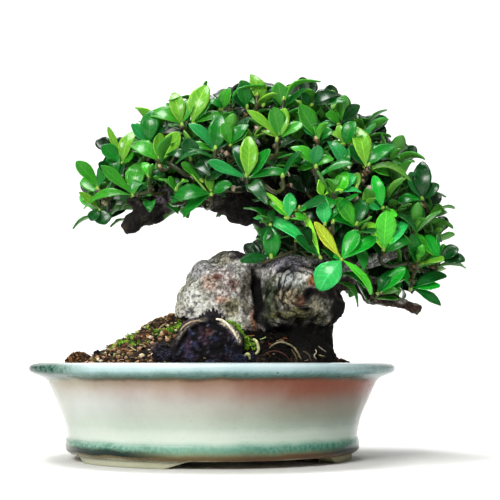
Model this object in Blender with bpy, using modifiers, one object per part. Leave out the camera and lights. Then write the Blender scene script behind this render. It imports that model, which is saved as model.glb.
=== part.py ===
"""Gardenia bonsai in a round glazed pot, as separate solids.

Metres, +Z up. Every place below is measured from the pot's own axis, with the ground at zero,
+X to the right and +Y away from someone who looks at the front of the tree.
"""

import math
import random

import bmesh
import bpy
from mathutils import Matrix, Vector, noise
from mathutils.bvhtree import BVHTree

# Overall sizes
POT_RADIUS = 0.0775
POT_HEIGHT = 0.0400
FOOT_HEIGHT = 0.0031
FLOOR_TOP = 0.0090
SEGMENTS = 40
FIT_GAP = 0.0004
CREASE = math.radians(40)
SEED = 7

# The frame's origin is the middle of the whole tree's box, and the pot's axis stands to its left
POT_AXIS = Vector((-0.0156, 0.0, 0.0))

# The pot's wall as radius and height, from the middle of the floor up the inside, then down the outside
INSIDE = [
    (0.0565, FLOOR_TOP),
    (0.0580, 0.0130),
    (0.0625, 0.0280),
    (0.0690, 0.0375),
    (0.0708, POT_HEIGHT),
]
OUTSIDE = [
    (0.0748, POT_HEIGHT),
    (0.0770, 0.0391),
    (POT_RADIUS, 0.0377),
    (0.0764, 0.0362),
    (0.0708, 0.0337),
    (0.0685, 0.0300),
    (0.0660, 0.0245),
    (0.0630, 0.0175),
    (0.0613, 0.0102),
    (0.0619, 0.0088),
    (0.0621, 0.0048),
    (0.0604, FOOT_HEIGHT),
]

# Three feet cut from one ring under the base, with sloping ends
FOOT_RING = (0.0510, 0.0590)
FOOT_ARC = math.radians(67)
FEET = [(math.radians(turn), math.radians(slope)) for turn, slope in ((-38, 12), (86, 7), (204, 7))]
FOOT_SINK = 0.0008
DRAIN_PLACES = (-0.024, 0.024)
DRAIN_RADIUS = 0.0055

# The mesh screens that keep the soil in over the drain holes
SCREEN_SIDE = 0.0165
SCREEN_CELLS = 3
SCREEN_BAR = 0.0007
SCREEN_THICK = 0.0008

# The soil is heaped round the roots: height at the rim, gaps to the wall, height, middle and reach of the heap
SOIL_EDGE = 0.0372
WALL_GAP = 0.0006
RIM_GAP = 0.0013
HEAP = 0.0250
HEAP_MIDDLE = -0.006
HEAP_LEFT = 0.064
HEAP_RIGHT = 0.080
HEAP_DEPTH = 0.066
SOIL_RINGS = 7
GRAIN = 0.0008
ROOT_GAP = 0.0013
HOLE_VOXEL = 0.0014
HOLE_FACES = 560
HOLE_TOP = 0.0640

# Points closer than this are made one after a cut
SLIVER = 0.00008

# Wood, as x, y, z and radius at each station
ROOT_HUMP = [
    (0.0015, 0.0000, 0.0340, 0.0215),
    (0.0018, 0.0000, 0.0480, 0.0210),
    (0.0025, 0.0000, 0.0600, 0.0194),
    (0.0033, 0.0000, 0.0680, 0.0178),
    (0.0045, 0.0005, 0.0750, 0.0158),
    (0.0065, 0.0010, 0.0800, 0.0130),
]
TRUNK_FOOT = [
    (0.0335, 0.0040, 0.0300, 0.0180),
    (0.0345, 0.0050, 0.0460, 0.0168),
    (0.0360, 0.0050, 0.0600, 0.0160),
    (0.0370, 0.0050, 0.0760, 0.0145),
]
SADDLE = [
    (0.0080, 0.0020, 0.0770, 0.0110),
    (0.0220, 0.0060, 0.0775, 0.0100),
    (0.0360, 0.0040, 0.0770, 0.0115),
]
SAWN_ROOT = [
    (-0.0010, -0.0080, 0.0430, 0.0172),
    (-0.0010, -0.0290, 0.0440, 0.0154),
    (-0.0004, -0.0490, 0.0440, 0.0140),
]
HEAVY_KNOBS = [
    (0.0075, 0.0010, 0.0765, 0.0125),
    (0.0375, -0.0040, 0.0715, 0.0174),
    (0.0290, -0.0120, 0.0640, 0.0090),
    (0.0480, -0.0080, 0.0640, 0.0085),
    (0.0340, -0.0080, 0.0800, 0.0095),
    (-0.0050, -0.0060, 0.0640, 0.0120),
    (0.0130, -0.0060, 0.0560, 0.0130),
]
BURL_EYE = Vector((0.0400, -0.0205, 0.0690))
BURL_RING_PITCH = 0.0052
BURL_RING_RELIEF = 0.0007
BURL_RING_SWAY = 0.0016
BURL_RING_SIDE = Vector((-0.85, -0.20, -0.48))
BURL_RING_REACH = 0.0190
LUMPS_END = 0.1000
LUMPS_FADE = 0.0200
LUMP_SIZE = 0.0110
LUMP_RELIEF = 0.0014
MAIN_LIMB = [
    (0.0360, 0.0040, 0.0760, 0.0140),
    (0.0375, 0.0070, 0.0880, 0.0118),
    (0.0340, 0.0090, 0.0980, 0.0104),
    (0.0265, 0.0090, 0.1060, 0.0094),
    (0.0170, 0.0070, 0.1100, 0.0086),
    (0.0060, 0.0030, 0.1115, 0.0074),
    (-0.0060, 0.0000, 0.1125, 0.0056),
    (-0.0170, -0.0030, 0.1110, 0.0046),
    (-0.0260, -0.0040, 0.1060, 0.0046),
    (-0.0325, -0.0050, 0.1015, 0.0040),
    (-0.0385, -0.0050, 0.0970, 0.0026),
]
LIGHT_KNOBS = [
    (-0.0262, -0.0055, 0.1045, 0.0056),
    (-0.0180, -0.0045, 0.1120, 0.0058),
    (-0.0345, -0.0060, 0.0995, 0.0042),
    (0.0130, 0.0040, 0.1090, 0.0092),
    (0.0675, -0.0040, 0.0690, 0.0048),
    (0.0590, -0.0020, 0.0775, 0.0072),
]
CROWN_LEADER = [
    (0.0345, 0.0090, 0.0990, 0.0085),
    (0.0360, 0.0100, 0.1120, 0.0068),
    (0.0330, 0.0080, 0.1250, 0.0052),
    (0.0260, 0.0050, 0.1370, 0.0036),
    (0.0210, 0.0030, 0.1450, 0.0020),
]
RIGHT_LIMB = [
    (0.0360, 0.0090, 0.1010, 0.0075),
    (0.0480, 0.0100, 0.1120, 0.0062),
    (0.0610, 0.0100, 0.1190, 0.0048),
    (0.0730, 0.0110, 0.1190, 0.0036),
    (0.0830, 0.0120, 0.1150, 0.0022),
]
LOW_LIMB = [
    (0.0460, 0.0020, 0.0800, 0.0085),
    (0.0575, -0.0010, 0.0775, 0.0066),
    (0.0670, -0.0030, 0.0725, 0.0050),
    (0.0765, -0.0040, 0.0672, 0.0036),
    (0.0885, -0.0040, 0.0625, 0.0022),
]
BRANCHES = [
    [(0.0575, -0.001, 0.0785, 0.0040), (0.069, -0.010, 0.084, 0.0030), (0.082, -0.013, 0.087, 0.0020)],
    [(0.0575, 0.001, 0.0785, 0.0040), (0.069, 0.012, 0.083, 0.0030), (0.080, 0.021, 0.087, 0.0018)],
    [(0.0390, 0.003, 0.0900, 0.0042), (0.044, -0.009, 0.096, 0.0032), (0.050, -0.020, 0.101, 0.0019)],
    [(0.0350, -0.002, 0.0880, 0.0036), (0.032, -0.013, 0.093, 0.0026), (0.030, -0.022, 0.098, 0.0018)],
    [(-0.006, 0.000, 0.1135, 0.0036), (-0.011, -0.009, 0.121, 0.0028), (-0.016, -0.016, 0.129, 0.0018)],
    [(-0.010, 0.000, 0.1130, 0.0036), (-0.016, 0.010, 0.120, 0.0028), (-0.021, 0.019, 0.125, 0.0018)],
    [(-0.0285, -0.004, 0.1050, 0.0030), (-0.036, -0.006, 0.111, 0.0024), (-0.042, -0.006, 0.116, 0.0017)],
    [(-0.017, -0.002, 0.1115, 0.0032), (-0.024, -0.001, 0.121, 0.0025), (-0.029, 0.001, 0.129, 0.0017)],
    [(0.006, 0.003, 0.1145, 0.0040), (0.004, 0.003, 0.126, 0.0030), (0.002, 0.002, 0.137, 0.0019)],
    [(0.0265, 0.008, 0.1100, 0.0042), (0.022, -0.005, 0.119, 0.0032), (0.019, -0.017, 0.127, 0.0019)],
    [(0.0300, 0.010, 0.1070, 0.0042), (0.026, 0.022, 0.116, 0.0032), (0.021, 0.032, 0.123, 0.0019)],
    [(0.048, 0.010, 0.1130, 0.0040), (0.051, 0.006, 0.126, 0.0030), (0.053, 0.003, 0.137, 0.0019)],
    [(0.055, 0.010, 0.1165, 0.0036), (0.061, -0.003, 0.121, 0.0028), (0.064, -0.015, 0.124, 0.0018)],
    [(0.058, 0.010, 0.1180, 0.0036), (0.064, 0.021, 0.123, 0.0028), (0.067, 0.031, 0.126, 0.0018)],
    [(0.037, 0.010, 0.0920, 0.0042), (0.040, 0.022, 0.097, 0.0032), (0.042, 0.033, 0.101, 0.0019)],
]
ROOTS = [
    [(0.042, -0.004, 0.0450, 0.0062), (0.047, -0.015, 0.0430, 0.0042), (0.050, -0.024, 0.0345, 0.0034)],
    [(0.036, -0.010, 0.0460, 0.0060), (0.038, -0.025, 0.0440, 0.0040), (0.043, -0.035, 0.0345, 0.0034)],
    [(0.040, 0.018, 0.0450, 0.0070), (0.043, 0.031, 0.0430, 0.0046), (0.042, 0.041, 0.0335, 0.0036)],
    [(0.004, 0.014, 0.0520, 0.0085), (0.002, 0.030, 0.0500, 0.0056), (-0.002, 0.043, 0.0370, 0.0036)],
    [(-0.014, 0.010, 0.0540, 0.0070), (-0.027, 0.017, 0.0520, 0.0046), (-0.037, 0.022, 0.0390, 0.0036)],
]
WOOD_VOXEL = 0.0011
CORE_ROUNDS = 14
LIMB_ROUNDS = 3
WOOD_TRIANGLES = 2700

# Foliage: the dome that the leafy shoots reach, and each shoot's leaves in pairs set crosswise
EYE = Vector((0.0159, -0.5160, 0.0400))
DOME_MIDDLE = Vector((0.024, 0.002, 0.092))
DOME_RADII = Vector((0.073, 0.043, 0.062))
GOLDEN_TURN = math.pi * (3 - math.sqrt(5))
BACK_STEPS = 170
BACK_SPAN = 1.25
BACK_LIMIT = -0.15
SKIRT = [(-0.016, 0.112), (0.020, 0.120), (0.050, 0.090), (1.000, 0.076)]
CLOSEST_SHOOTS = 0.0135
FORK_REACH = 0.0300
MOST_SPRAYS = 55
OUTWARD = 0.45
UPWARD = 0.80
OWN_WAY = 0.20
BACK = 0.014
LEAF_PAIRS = [
    (math.radians(60), 0.0142, 0.0035),
    (math.radians(36), 0.0152, 0.0037),
    (math.radians(12), 0.0132, 0.0032),
]
BLADE_THICK = 0.0008
BLADE_FOLD = 0.20
BLADE_ARCH = 0.30
ROW_SPREAD = 0.75
ROOT_OUT = 0.0001
PAIR_STEP = 0.0016
TURN_SPREAD = 0.30
TILT_SPREAD = 0.16
ROLL_SPREAD = 0.25
LEAF_SIZES = (0.86, 1.10)
HANG = 0.0100

# How far each new try moves a leaf aside, closes it and shortens it, and how far it moves a twig's foot
ASIDE_STEP = 0.13
CLOSE_STEP = 0.05
SHORTEN_STEP = 0.03
FOOT_STEP = 0.0020
TRIES = 9
NEIGHBOURS = 0.060

# A twig: its radius at foot, neck and tip, the straight end, and where along it a side twig may fork
TWIG_RADII = (0.0010, 0.0009, 0.0008)
FORKS = (0.5, 0.8, 0.2, 0.65, 0.95)
TWIG_NECK = 0.0042
TWIG_END = 0.0008
SHORTEST_TWIG = 0.0060
TWIG_SAG = 0.05

# Shoots that show in the front view: x and z as seen at the pot's axis, and depth from it
FRONT_SHOOTS = [
    (-0.0349, 0.1128, -0.014),
    (-0.0495, 0.1145, -0.008),
    (-0.0500, 0.1070, 0.006),
    (-0.0392, 0.1262, -0.004),
    (-0.0233, 0.1283, -0.018),
    (-0.0160, 0.1140, -0.024),
    (-0.0280, 0.1200, -0.022),
    (-0.0133, 0.1425, -0.010),
    (-0.0250, 0.1400, 0.002),
    (-0.0060, 0.1510, 0.004),
    (-0.0095, 0.1274, -0.026),
    (0.0009, 0.1322, -0.030),
    (0.0069, 0.1355, -0.020),
    (0.0069, 0.1525, -0.008),
    (0.0146, 0.1201, -0.032),
    (-0.0054, 0.1200, -0.020),
    (-0.0010, 0.1130, -0.028),
    (0.0276, 0.1360, -0.030),
    (0.0190, 0.1560, -0.010),
    (0.0306, 0.1540, -0.012),
    (0.0452, 0.1365, -0.024),
    (0.0448, 0.1240, -0.034),
    (0.0400, 0.1480, 0.000),
    (0.0568, 0.1440, -0.004),
    (0.0600, 0.1330, -0.016),
    (0.0672, 0.1248, -0.022),
    (0.0770, 0.1270, 0.000),
    (0.0800, 0.1180, -0.012),
    (0.0749, 0.1105, -0.018),
    (0.0870, 0.1110, 0.004),
    (0.0521, 0.1132, -0.036),
    (0.0620, 0.1150, -0.030),
    (0.0370, 0.1060, -0.034),
    (0.0300, 0.1200, -0.034),
    (0.0517, 0.1000, -0.036),
    (0.0620, 0.0990, -0.034),
    (0.0553, 0.0850, -0.030),
    (0.0440, 0.0905, -0.028),
    (0.0734, 0.0880, -0.026),
    (0.0667, 0.1060, -0.026),
    (0.0350, 0.0930, -0.020),
    (0.0710, 0.0700, -0.012),
    (0.0860, 0.0700, -0.008),
    (0.0883, 0.0835, -0.016),
    (0.0970, 0.0830, -0.004),
    (0.0867, 0.0970, -0.010),
]


def material(name, colour, roughness):
    made = bpy.data.materials.new(name)
    made.use_nodes = True
    shader = made.node_tree.nodes["Principled BSDF"]
    shader.inputs["Base Color"].default_value = (*colour, 1.0)
    shader.inputs["Roughness"].default_value = roughness
    return made


def add_object(name, mesh, collection):
    made = bpy.data.objects.new(name, mesh)
    collection.objects.link(made)
    return made


def bake(obj):
    """Applies the object's modifiers to its mesh."""
    graph = bpy.context.evaluated_depsgraph_get()
    mesh = bpy.data.meshes.new_from_object(obj.evaluated_get(graph))
    obj.modifiers.clear()
    obj.data = mesh


def boolean(obj, others, operation):
    """Joins the other objects to obj, or cuts them from it, in one step, and removes them."""
    group = bpy.data.collections.new("operands")
    for other in others:
        group.objects.link(other)
    modifier = obj.modifiers.new(operation.lower(), "BOOLEAN")
    modifier.operation = operation
    modifier.operand_type = "COLLECTION"
    modifier.collection = group
    bpy.context.view_layer.update()
    bake(obj)
    for other in others:
        bpy.data.objects.remove(other)
    bpy.data.collections.remove(group)


def tube(name, stations, collection, resolution, smooth):
    """A rod through the stations, with its own radius at each, as a closed mesh."""
    curve = bpy.data.curves.new(name, "CURVE")
    curve.dimensions = "3D"
    curve.bevel_depth = 1.0
    curve.bevel_resolution = resolution
    curve.use_fill_caps = True
    if smooth:
        spline = curve.splines.new("BEZIER")
        spline.bezier_points.add(len(stations) - 1)
        spline.resolution_u = 6
        for point, (x, y, z, radius) in zip(spline.bezier_points, stations):
            point.co = (x, y, z)
            point.radius = radius
            point.handle_left_type = point.handle_right_type = "AUTO"
    else:
        spline = curve.splines.new("POLY")
        spline.points.add(len(stations) - 1)
        for point, (x, y, z, radius) in zip(spline.points, stations):
            point.co = (x, y, z, 1)
            point.radius = radius
    line = add_object(name + "_line", curve, collection)
    bpy.context.view_layer.update()
    graph = bpy.context.evaluated_depsgraph_get()
    mesh = bpy.data.meshes.new_from_object(line.evaluated_get(graph))
    bm = bmesh.new()
    bm.from_mesh(mesh)
    bmesh.ops.remove_doubles(bm, verts=bm.verts, dist=1e-6)
    bm.to_mesh(mesh)
    bm.free()
    bpy.data.objects.remove(line)
    return add_object(name, mesh, collection)


def ball(name, station, collection):
    x, y, z, radius = station
    bm = bmesh.new()
    bmesh.ops.create_icosphere(bm, subdivisions=4, radius=radius)
    bmesh.ops.translate(bm, verts=bm.verts, vec=(x, y, z))
    mesh = bpy.data.meshes.new(name)
    bm.to_mesh(mesh)
    bm.free()
    return add_object(name, mesh, collection)


def join_meshes(name, objects, collection):
    """One object that holds all their meshes, still as separate bodies."""
    bm = bmesh.new()
    for obj in objects:
        bm.from_mesh(obj.data)
        bpy.data.objects.remove(obj)
    mesh = bpy.data.meshes.new(name)
    bm.to_mesh(mesh)
    bm.free()
    return add_object(name, mesh, collection)


def turned(name, profile, collection):
    """A profile of radius and height, turned about the pot's axis."""
    mesh = bpy.data.meshes.new(name)
    points = [(radius, 0, height) for radius, height in profile]
    mesh.from_pydata(points, [(i, i + 1) for i in range(len(points) - 1)], [])
    obj = add_object(name, mesh, collection)
    screw = obj.modifiers.new("turn", "SCREW")
    screw.steps = screw.render_steps = SEGMENTS
    screw.use_merge_vertices = True
    screw.merge_threshold = 0.0001
    bpy.context.view_layer.update()
    bake(obj)
    return obj


def make_foot(turn, slope, collection):
    """One foot: an arc of the ring under the base, narrower at the ground than at the top."""
    low, high = 0.0, FOOT_HEIGHT + FOOT_SINK
    corners = [(FOOT_RING[0], low), (FOOT_RING[1], low), (FOOT_RING[1], high), (FOOT_RING[0], high)]
    bm = bmesh.new()
    verts = [bm.verts.new((0, -radius, height)) for radius, height in corners]
    edges = [bm.edges.new((verts[i], verts[(i + 1) % 4])) for i in range(4)]
    bmesh.ops.spin(
        bm, geom=verts + edges, axis=(0, 0, 1), angle=FOOT_ARC, steps=8, use_duplicate=False
    )
    bmesh.ops.remove_doubles(bm, verts=bm.verts, dist=1e-6)
    bmesh.ops.holes_fill(bm, edges=[e for e in bm.edges if e.is_boundary], sides=4)
    bmesh.ops.rotate(bm, verts=bm.verts, matrix=Matrix.Rotation(-FOOT_ARC / 2, 3, "Z"))
    narrowing = 1 - 2 * slope / FOOT_ARC
    for vert in bm.verts:
        if vert.co.z < high / 2:
            angle = math.atan2(vert.co.x, -vert.co.y)
            vert.co = Matrix.Rotation(angle * (narrowing - 1), 3, "Z") @ vert.co
    bmesh.ops.rotate(bm, verts=bm.verts, matrix=Matrix.Rotation(turn, 3, "Z"))
    bmesh.ops.recalc_face_normals(bm, faces=bm.faces)
    mesh = bpy.data.meshes.new("foot")
    bm.to_mesh(mesh)
    bm.free()
    return add_object("foot", mesh, collection)


def add_cutter(name, mesh, collection):
    """A shape that is only cut from another, and is removed once it has been."""
    cutter = add_object(name, mesh, collection)
    cutter.hide_render = True
    cutter.display_type = "WIRE"
    return cutter


def make_drain_cutter(x, collection):
    """A rod through the pot's floor."""
    bm = bmesh.new()
    bmesh.ops.create_cone(
        bm, cap_ends=True, segments=20, radius1=DRAIN_RADIUS, radius2=DRAIN_RADIUS, depth=0.02
    )
    bmesh.ops.translate(bm, verts=bm.verts, vec=(x, 0, FLOOR_TOP / 2 + FOOT_HEIGHT / 2))
    mesh = bpy.data.meshes.new("drain_cutter")
    bm.to_mesh(mesh)
    bm.free()
    return add_cutter("drain_cutter", mesh, collection)


def make_pot(collection, cutters):
    """Thrown stoneware: a thick rolled lip, a flared wall, a bead at the foot and three feet."""
    profile = [(0.0, FLOOR_TOP)] + INSIDE + OUTSIDE + [(0.0, FOOT_HEIGHT)]
    pot = turned("pot", profile, collection)
    boolean(pot, [make_drain_cutter(x, cutters) for x in DRAIN_PLACES], "DIFFERENCE")
    boolean(pot, [make_foot(turn, slope, collection) for turn, slope in FEET], "UNION")
    return pot


def make_screen(name, x, collection):
    """A square of plastic mesh that lies on the pot's floor over a drain hole."""
    bm = bmesh.new()
    bmesh.ops.create_grid(
        bm, x_segments=SCREEN_CELLS, y_segments=SCREEN_CELLS, size=SCREEN_SIDE / 2
    )
    bars = bmesh.ops.inset_individual(bm, faces=bm.faces[:], thickness=SCREEN_BAR)["faces"]
    bmesh.ops.delete(bm, geom=list(set(bm.faces) - set(bars)), context="FACES")
    bmesh.ops.translate(bm, verts=bm.verts, vec=(x, 0, FLOOR_TOP + FIT_GAP))
    mesh = bpy.data.meshes.new(name)
    bm.to_mesh(mesh)
    bm.free()
    screen = add_object(name, mesh, collection)
    wall = screen.modifiers.new("thickness", "SOLIDIFY")
    wall.thickness = SCREEN_THICK
    wall.offset = 1
    bpy.context.view_layer.update()
    bake(screen)
    return screen


def heap_height(x, y):
    """How far the soil stands above the edge of the heap."""
    reach = HEAP_LEFT if x < HEAP_MIDDLE else HEAP_RIGHT
    share = math.hypot((x - HEAP_MIDDLE) / reach, y / HEAP_DEPTH)
    return HEAP * (0.5 + 0.5 * math.cos(math.pi * min(share, 1.0)))


def make_soil(collection):
    """Soil that fills the pot to just under the rim and is heaped round the roots."""
    rim = INSIDE[-2][0] - RIM_GAP
    wall = [(radius - WALL_GAP, height) for radius, height in INSIDE[1:-2]]
    wall = [(INSIDE[0][0] - WALL_GAP, FLOOR_TOP + FIT_GAP), *wall, (rim, SOIL_EDGE)]
    top = [(rim * (1 - (i / (SOIL_RINGS + 1)) ** 0.8), SOIL_EDGE) for i in range(1, SOIL_RINGS + 1)]
    profile = [(0.0, SOIL_EDGE)] + top[::-1] + wall[::-1] + [(0.0, wall[0][1])]
    soil = turned("soil", profile, collection)
    rng = random.Random(SEED)
    for vert in soil.data.vertices:
        x, y, z = vert.co
        if z > SOIL_EDGE - 1e-6 and math.hypot(x, y) < rim - 1e-4:
            vert.co = (
                x + rng.uniform(-GRAIN, GRAIN),
                y + rng.uniform(-GRAIN, GRAIN),
                z + heap_height(x, y) + rng.uniform(-GRAIN, GRAIN),
            )
    return soil


def fused(name, parts, voxel, rounds, collection):
    """One skin over rods and balls that run into each other, with its creases softened."""
    body = join_meshes(name, parts, collection)
    remesh = body.modifiers.new("one_skin", "REMESH")
    remesh.mode = "VOXEL"
    remesh.voxel_size = voxel
    smooth = body.modifiers.new("soften", "SMOOTH")
    smooth.factor = 0.5
    smooth.iterations = rounds
    bpy.context.view_layer.update()
    bake(body)
    return body


def bark_relief(point):
    """Lumps of old wood low down, and rolled rings left of and under the scar on the burl."""
    low = min(1.0, max(0.0, (LUMPS_END - point.z) / LUMPS_FADE))
    lumps = noise.noise(point / LUMP_SIZE) + 0.5 * noise.noise(point / LUMP_SIZE * 2.1)
    out = point - BURL_EYE
    away = out.length + BURL_RING_SWAY * noise.noise(point / LUMP_SIZE)
    fade = min(1.0, max(0.0, BURL_RING_REACH - away) / BURL_RING_PITCH)
    side = min(1.0, max(0.0, 0.3 + 1.4 * out.normalized().dot(BURL_RING_SIDE)))
    rings = math.cos(2 * math.pi * away / BURL_RING_PITCH)
    return LUMP_RELIEF * low * lumps + BURL_RING_RELIEF * fade * side * rings


def make_trunk(collection):
    """Roots, hump, burl, trunk and every woody branch, grown together as one piece."""
    heavy = [ROOT_HUMP, TRUNK_FOOT, SADDLE, MAIN_LIMB[:3]]
    parts = [tube("rod", stations, collection, 6, True) for stations in heavy]
    parts += [ball("knob", station, collection) for station in HEAVY_KNOBS]
    parts = [fused("core", parts, WOOD_VOXEL, CORE_ROUNDS, collection)]
    light = [SAWN_ROOT, MAIN_LIMB, CROWN_LEADER, RIGHT_LIMB, LOW_LIMB, *BRANCHES, *ROOTS]
    parts += [tube("rod", stations, collection, 6, True) for stations in light]
    parts += [ball("knob", station, collection) for station in LIGHT_KNOBS]
    trunk = fused("trunk", parts, WOOD_VOXEL, LIMB_ROUNDS, collection)
    bm = bmesh.new()
    bm.from_mesh(trunk.data)
    bm.normal_update()
    for vert in bm.verts:
        vert.co += vert.normal * bark_relief(vert.co)
    bmesh.ops.triangulate(bm, faces=bm.faces[:])
    count = len(bm.faces)
    bm.to_mesh(trunk.data)
    bm.free()
    thin = trunk.modifiers.new("fewer_faces", "DECIMATE")
    thin.ratio = WOOD_TRIANGLES / count
    bpy.context.view_layer.update()
    bake(trunk)
    return trunk


def melt_slivers(obj):
    """Closes up the thinnest faces that a cut leaves."""
    bm = bmesh.new()
    bm.from_mesh(obj.data)
    bmesh.ops.remove_doubles(bm, verts=bm.verts, dist=SLIVER)
    bmesh.ops.dissolve_degenerate(bm, edges=bm.edges, dist=SLIVER / 4)
    bmesh.ops.triangulate(bm, faces=bm.faces[:])
    bm.to_mesh(obj.data)
    bm.free()


def drop_scrap(obj):
    """Keeps the largest body of a mesh, and drops the crumbs that a cut leaves."""
    bm = bmesh.new()
    bm.from_mesh(obj.data)
    left = set(bm.faces)
    bodies = []
    while left:
        reached = [left.pop()]
        for face in reached:
            for edge in face.edges:
                for other in edge.link_faces if len(edge.link_faces) == 2 else []:
                    if other in left:
                        left.remove(other)
                        reached.append(other)
        bodies.append(reached)
    bodies.sort(key=len)
    bmesh.ops.delete(bm, geom=[face for body in bodies[:-1] for face in body], context="FACES")
    bm.to_mesh(obj.data)
    bm.free()


def cut_root_hole(soil, trunk, cutters):
    """A hole in the soil that the roots fill, a little wider than they are all round."""
    bm = bmesh.new()
    bm.from_mesh(trunk.data)
    bm.normal_update()
    for vert in bm.verts:
        vert.co += vert.normal * ROOT_GAP
    parts = bm.verts[:] + bm.edges[:] + bm.faces[:]
    bmesh.ops.bisect_plane(
        bm, geom=parts, plane_co=(0, 0, HOLE_TOP), plane_no=(0, 0, 1), clear_outer=True
    )
    bmesh.ops.holes_fill(bm, edges=[e for e in bm.edges if e.is_boundary])
    mesh = bpy.data.meshes.new("wide_root")
    bm.to_mesh(mesh)
    bm.free()
    wide_root = add_cutter("wide_root", mesh, cutters)
    cutter = fused("root_cutter", [wide_root], HOLE_VOXEL, 1, cutters)
    thin = cutter.modifiers.new("fewer_faces", "DECIMATE")
    thin.ratio = HOLE_FACES / len(cutter.data.polygons)
    bpy.context.view_layer.update()
    bake(cutter)
    boolean(soil, [cutter], "DIFFERENCE")
    melt_slivers(soil)
    drop_scrap(soil)


def cut_screen_pockets(soil, cutters):
    """A shallow pocket under the soil for each drain screen."""
    pockets = []
    for x in DRAIN_PLACES:
        bm = bmesh.new()
        bmesh.ops.create_cube(bm, size=1)
        side = SCREEN_SIDE + 2 * FIT_GAP
        bmesh.ops.scale(bm, verts=bm.verts, vec=(side, side, 2 * (SCREEN_THICK + FIT_GAP)))
        bmesh.ops.translate(bm, verts=bm.verts, vec=(x, 0, FLOOR_TOP + FIT_GAP))
        mesh = bpy.data.meshes.new("pocket")
        bm.to_mesh(mesh)
        bm.free()
        pockets.append(add_cutter("pocket", mesh, cutters))
    boolean(soil, pockets, "DIFFERENCE")


def seen(x, z, depth):
    """The point that appears at x, z on the plane of the pot's axis from the front, at this depth."""
    return EYE + (Vector((x, 0, z)) - EYE) * (1 - depth / EYE.y)


def skirt(x):
    """The lowest height that the foliage's edge has at this x."""
    return next(height for end, height in SKIRT if x < end)


def shoot_tips():
    """Where the leafy shoots end: those seen from the front, then the back, spread by the golden angle."""
    tips = [seen(*place) for place in FRONT_SHOOTS]
    for step in range(BACK_STEPS):
        height = 1 - BACK_SPAN * (step + 0.5) / BACK_STEPS
        ring = math.sqrt(1 - height * height)
        turn = step * GOLDEN_TURN
        way = Vector((ring * math.cos(turn), ring * math.sin(turn), height))
        tip = DOME_MIDDLE + way * DOME_RADII
        if way.y > BACK_LIMIT and tip.z > skirt(tip.x):
            if min((tip - other).length for other in tips) > CLOSEST_SHOOTS:
                tips.append(tip)
    return tips


def paired(tips):
    """Neighbouring shoots two by two, as the forks of one spray."""
    left = list(tips)
    pairs = []
    while left:
        tip = left.pop(0)
        near = min(left, key=lambda other: (other - tip).length, default=None)
        if near and (near - tip).length < FORK_REACH:
            left.remove(near)
            pairs.append([tip, near])
        else:
            pairs.append([tip])
    return pairs


def shoot_axis(tip, rng):
    """The way a shoot points: out of the dome, up to the light, and a little its own way."""
    out = tip - DOME_MIDDLE
    normal = Vector(tuple(out[i] / DOME_RADII[i] ** 2 for i in range(3))).normalized()
    own = Vector([rng.uniform(-OWN_WAY, OWN_WAY) for _ in range(3)])
    return (OUTWARD * normal + Vector((0, 0, UPWARD)) + own).normalized()


def blade_outline(along):
    """Half the blade's width as a share of the widest, which comes past the middle."""
    return math.sin(math.pi * along**1.42) ** 0.80 if 0 < along < 1 else 0.0


def leaf_body(length, half_width, margin, frame):
    """A closed blade, flat above and keeled along its midrib below, from a sphere of three sides."""
    bm = bmesh.new()
    bmesh.ops.create_uvsphere(bm, u_segments=3, v_segments=3, radius=1)
    for vert in bm.verts:
        along = max(0.0, 0.5 - 0.5 * vert.co.z) ** ROW_SPREAD
        girth = math.hypot(vert.co.x, vert.co.y)
        edge = round(vert.co.x / girth) if girth > 0.1 else 0
        across = half_width * blade_outline(along) * edge
        lift = margin + BLADE_FOLD * abs(across) if edge else -BLADE_THICK - margin
        lift *= 1 if girth > 0.1 else 0
        bend = BLADE_ARCH * along
        run = length * math.sin(bend) / BLADE_ARCH
        drop = length * (1 - math.cos(bend)) / BLADE_ARCH
        vert.co = frame @ Vector((run + lift * math.sin(bend), across, lift * math.cos(bend) - drop))
    if bm.calc_volume(signed=True) < 0:
        bmesh.ops.reverse_faces(bm, faces=bm.faces)
    return bm


def tree_of(bm):
    return BVHTree.FromBMesh(bm, epsilon=0.0)


def leaf_frame(root, axis, open_angle, turn, roll):
    """Places a blade: it opens this far from the shoot's axis, at this turn round it."""
    out = Matrix.Rotation(turn, 3, axis) @ axis.orthogonal().normalized()
    way = axis * math.cos(open_angle) + out * math.sin(open_angle)
    up = axis * math.sin(open_angle) - out * math.cos(open_angle)
    up = Matrix.Rotation(roll, 3, way) @ up
    across = up.cross(way)
    frame = Matrix((way, across, up)).transposed().to_4x4()
    return Matrix.Translation(root + out * ROOT_OUT) @ frame


def twig_stations(start, tip, axis):
    """A twig that sags a little on its way and turns up to the shoot's axis."""
    neck = tip - axis * TWIG_NECK - Vector((0, 0, TWIG_SAG * (tip - start).length))
    return [(*p, r) for p, r in zip((start, neck, tip + axis * TWIG_END), TWIG_RADII)]


def clear_twig(stations, wood, others, collection):
    """The twig as an object with its search tree, or nothing where it would cross what stands there."""
    twig = tube("twig", stations, collection, 0, False)
    bm = bmesh.new()
    bm.from_mesh(twig.data)
    solid = tree_of(bm)
    bm.free()
    if solid.overlap(wood) or any(solid.overlap(other) for other in others):
        bpy.data.objects.remove(twig)
        return None
    return twig, solid


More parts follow.
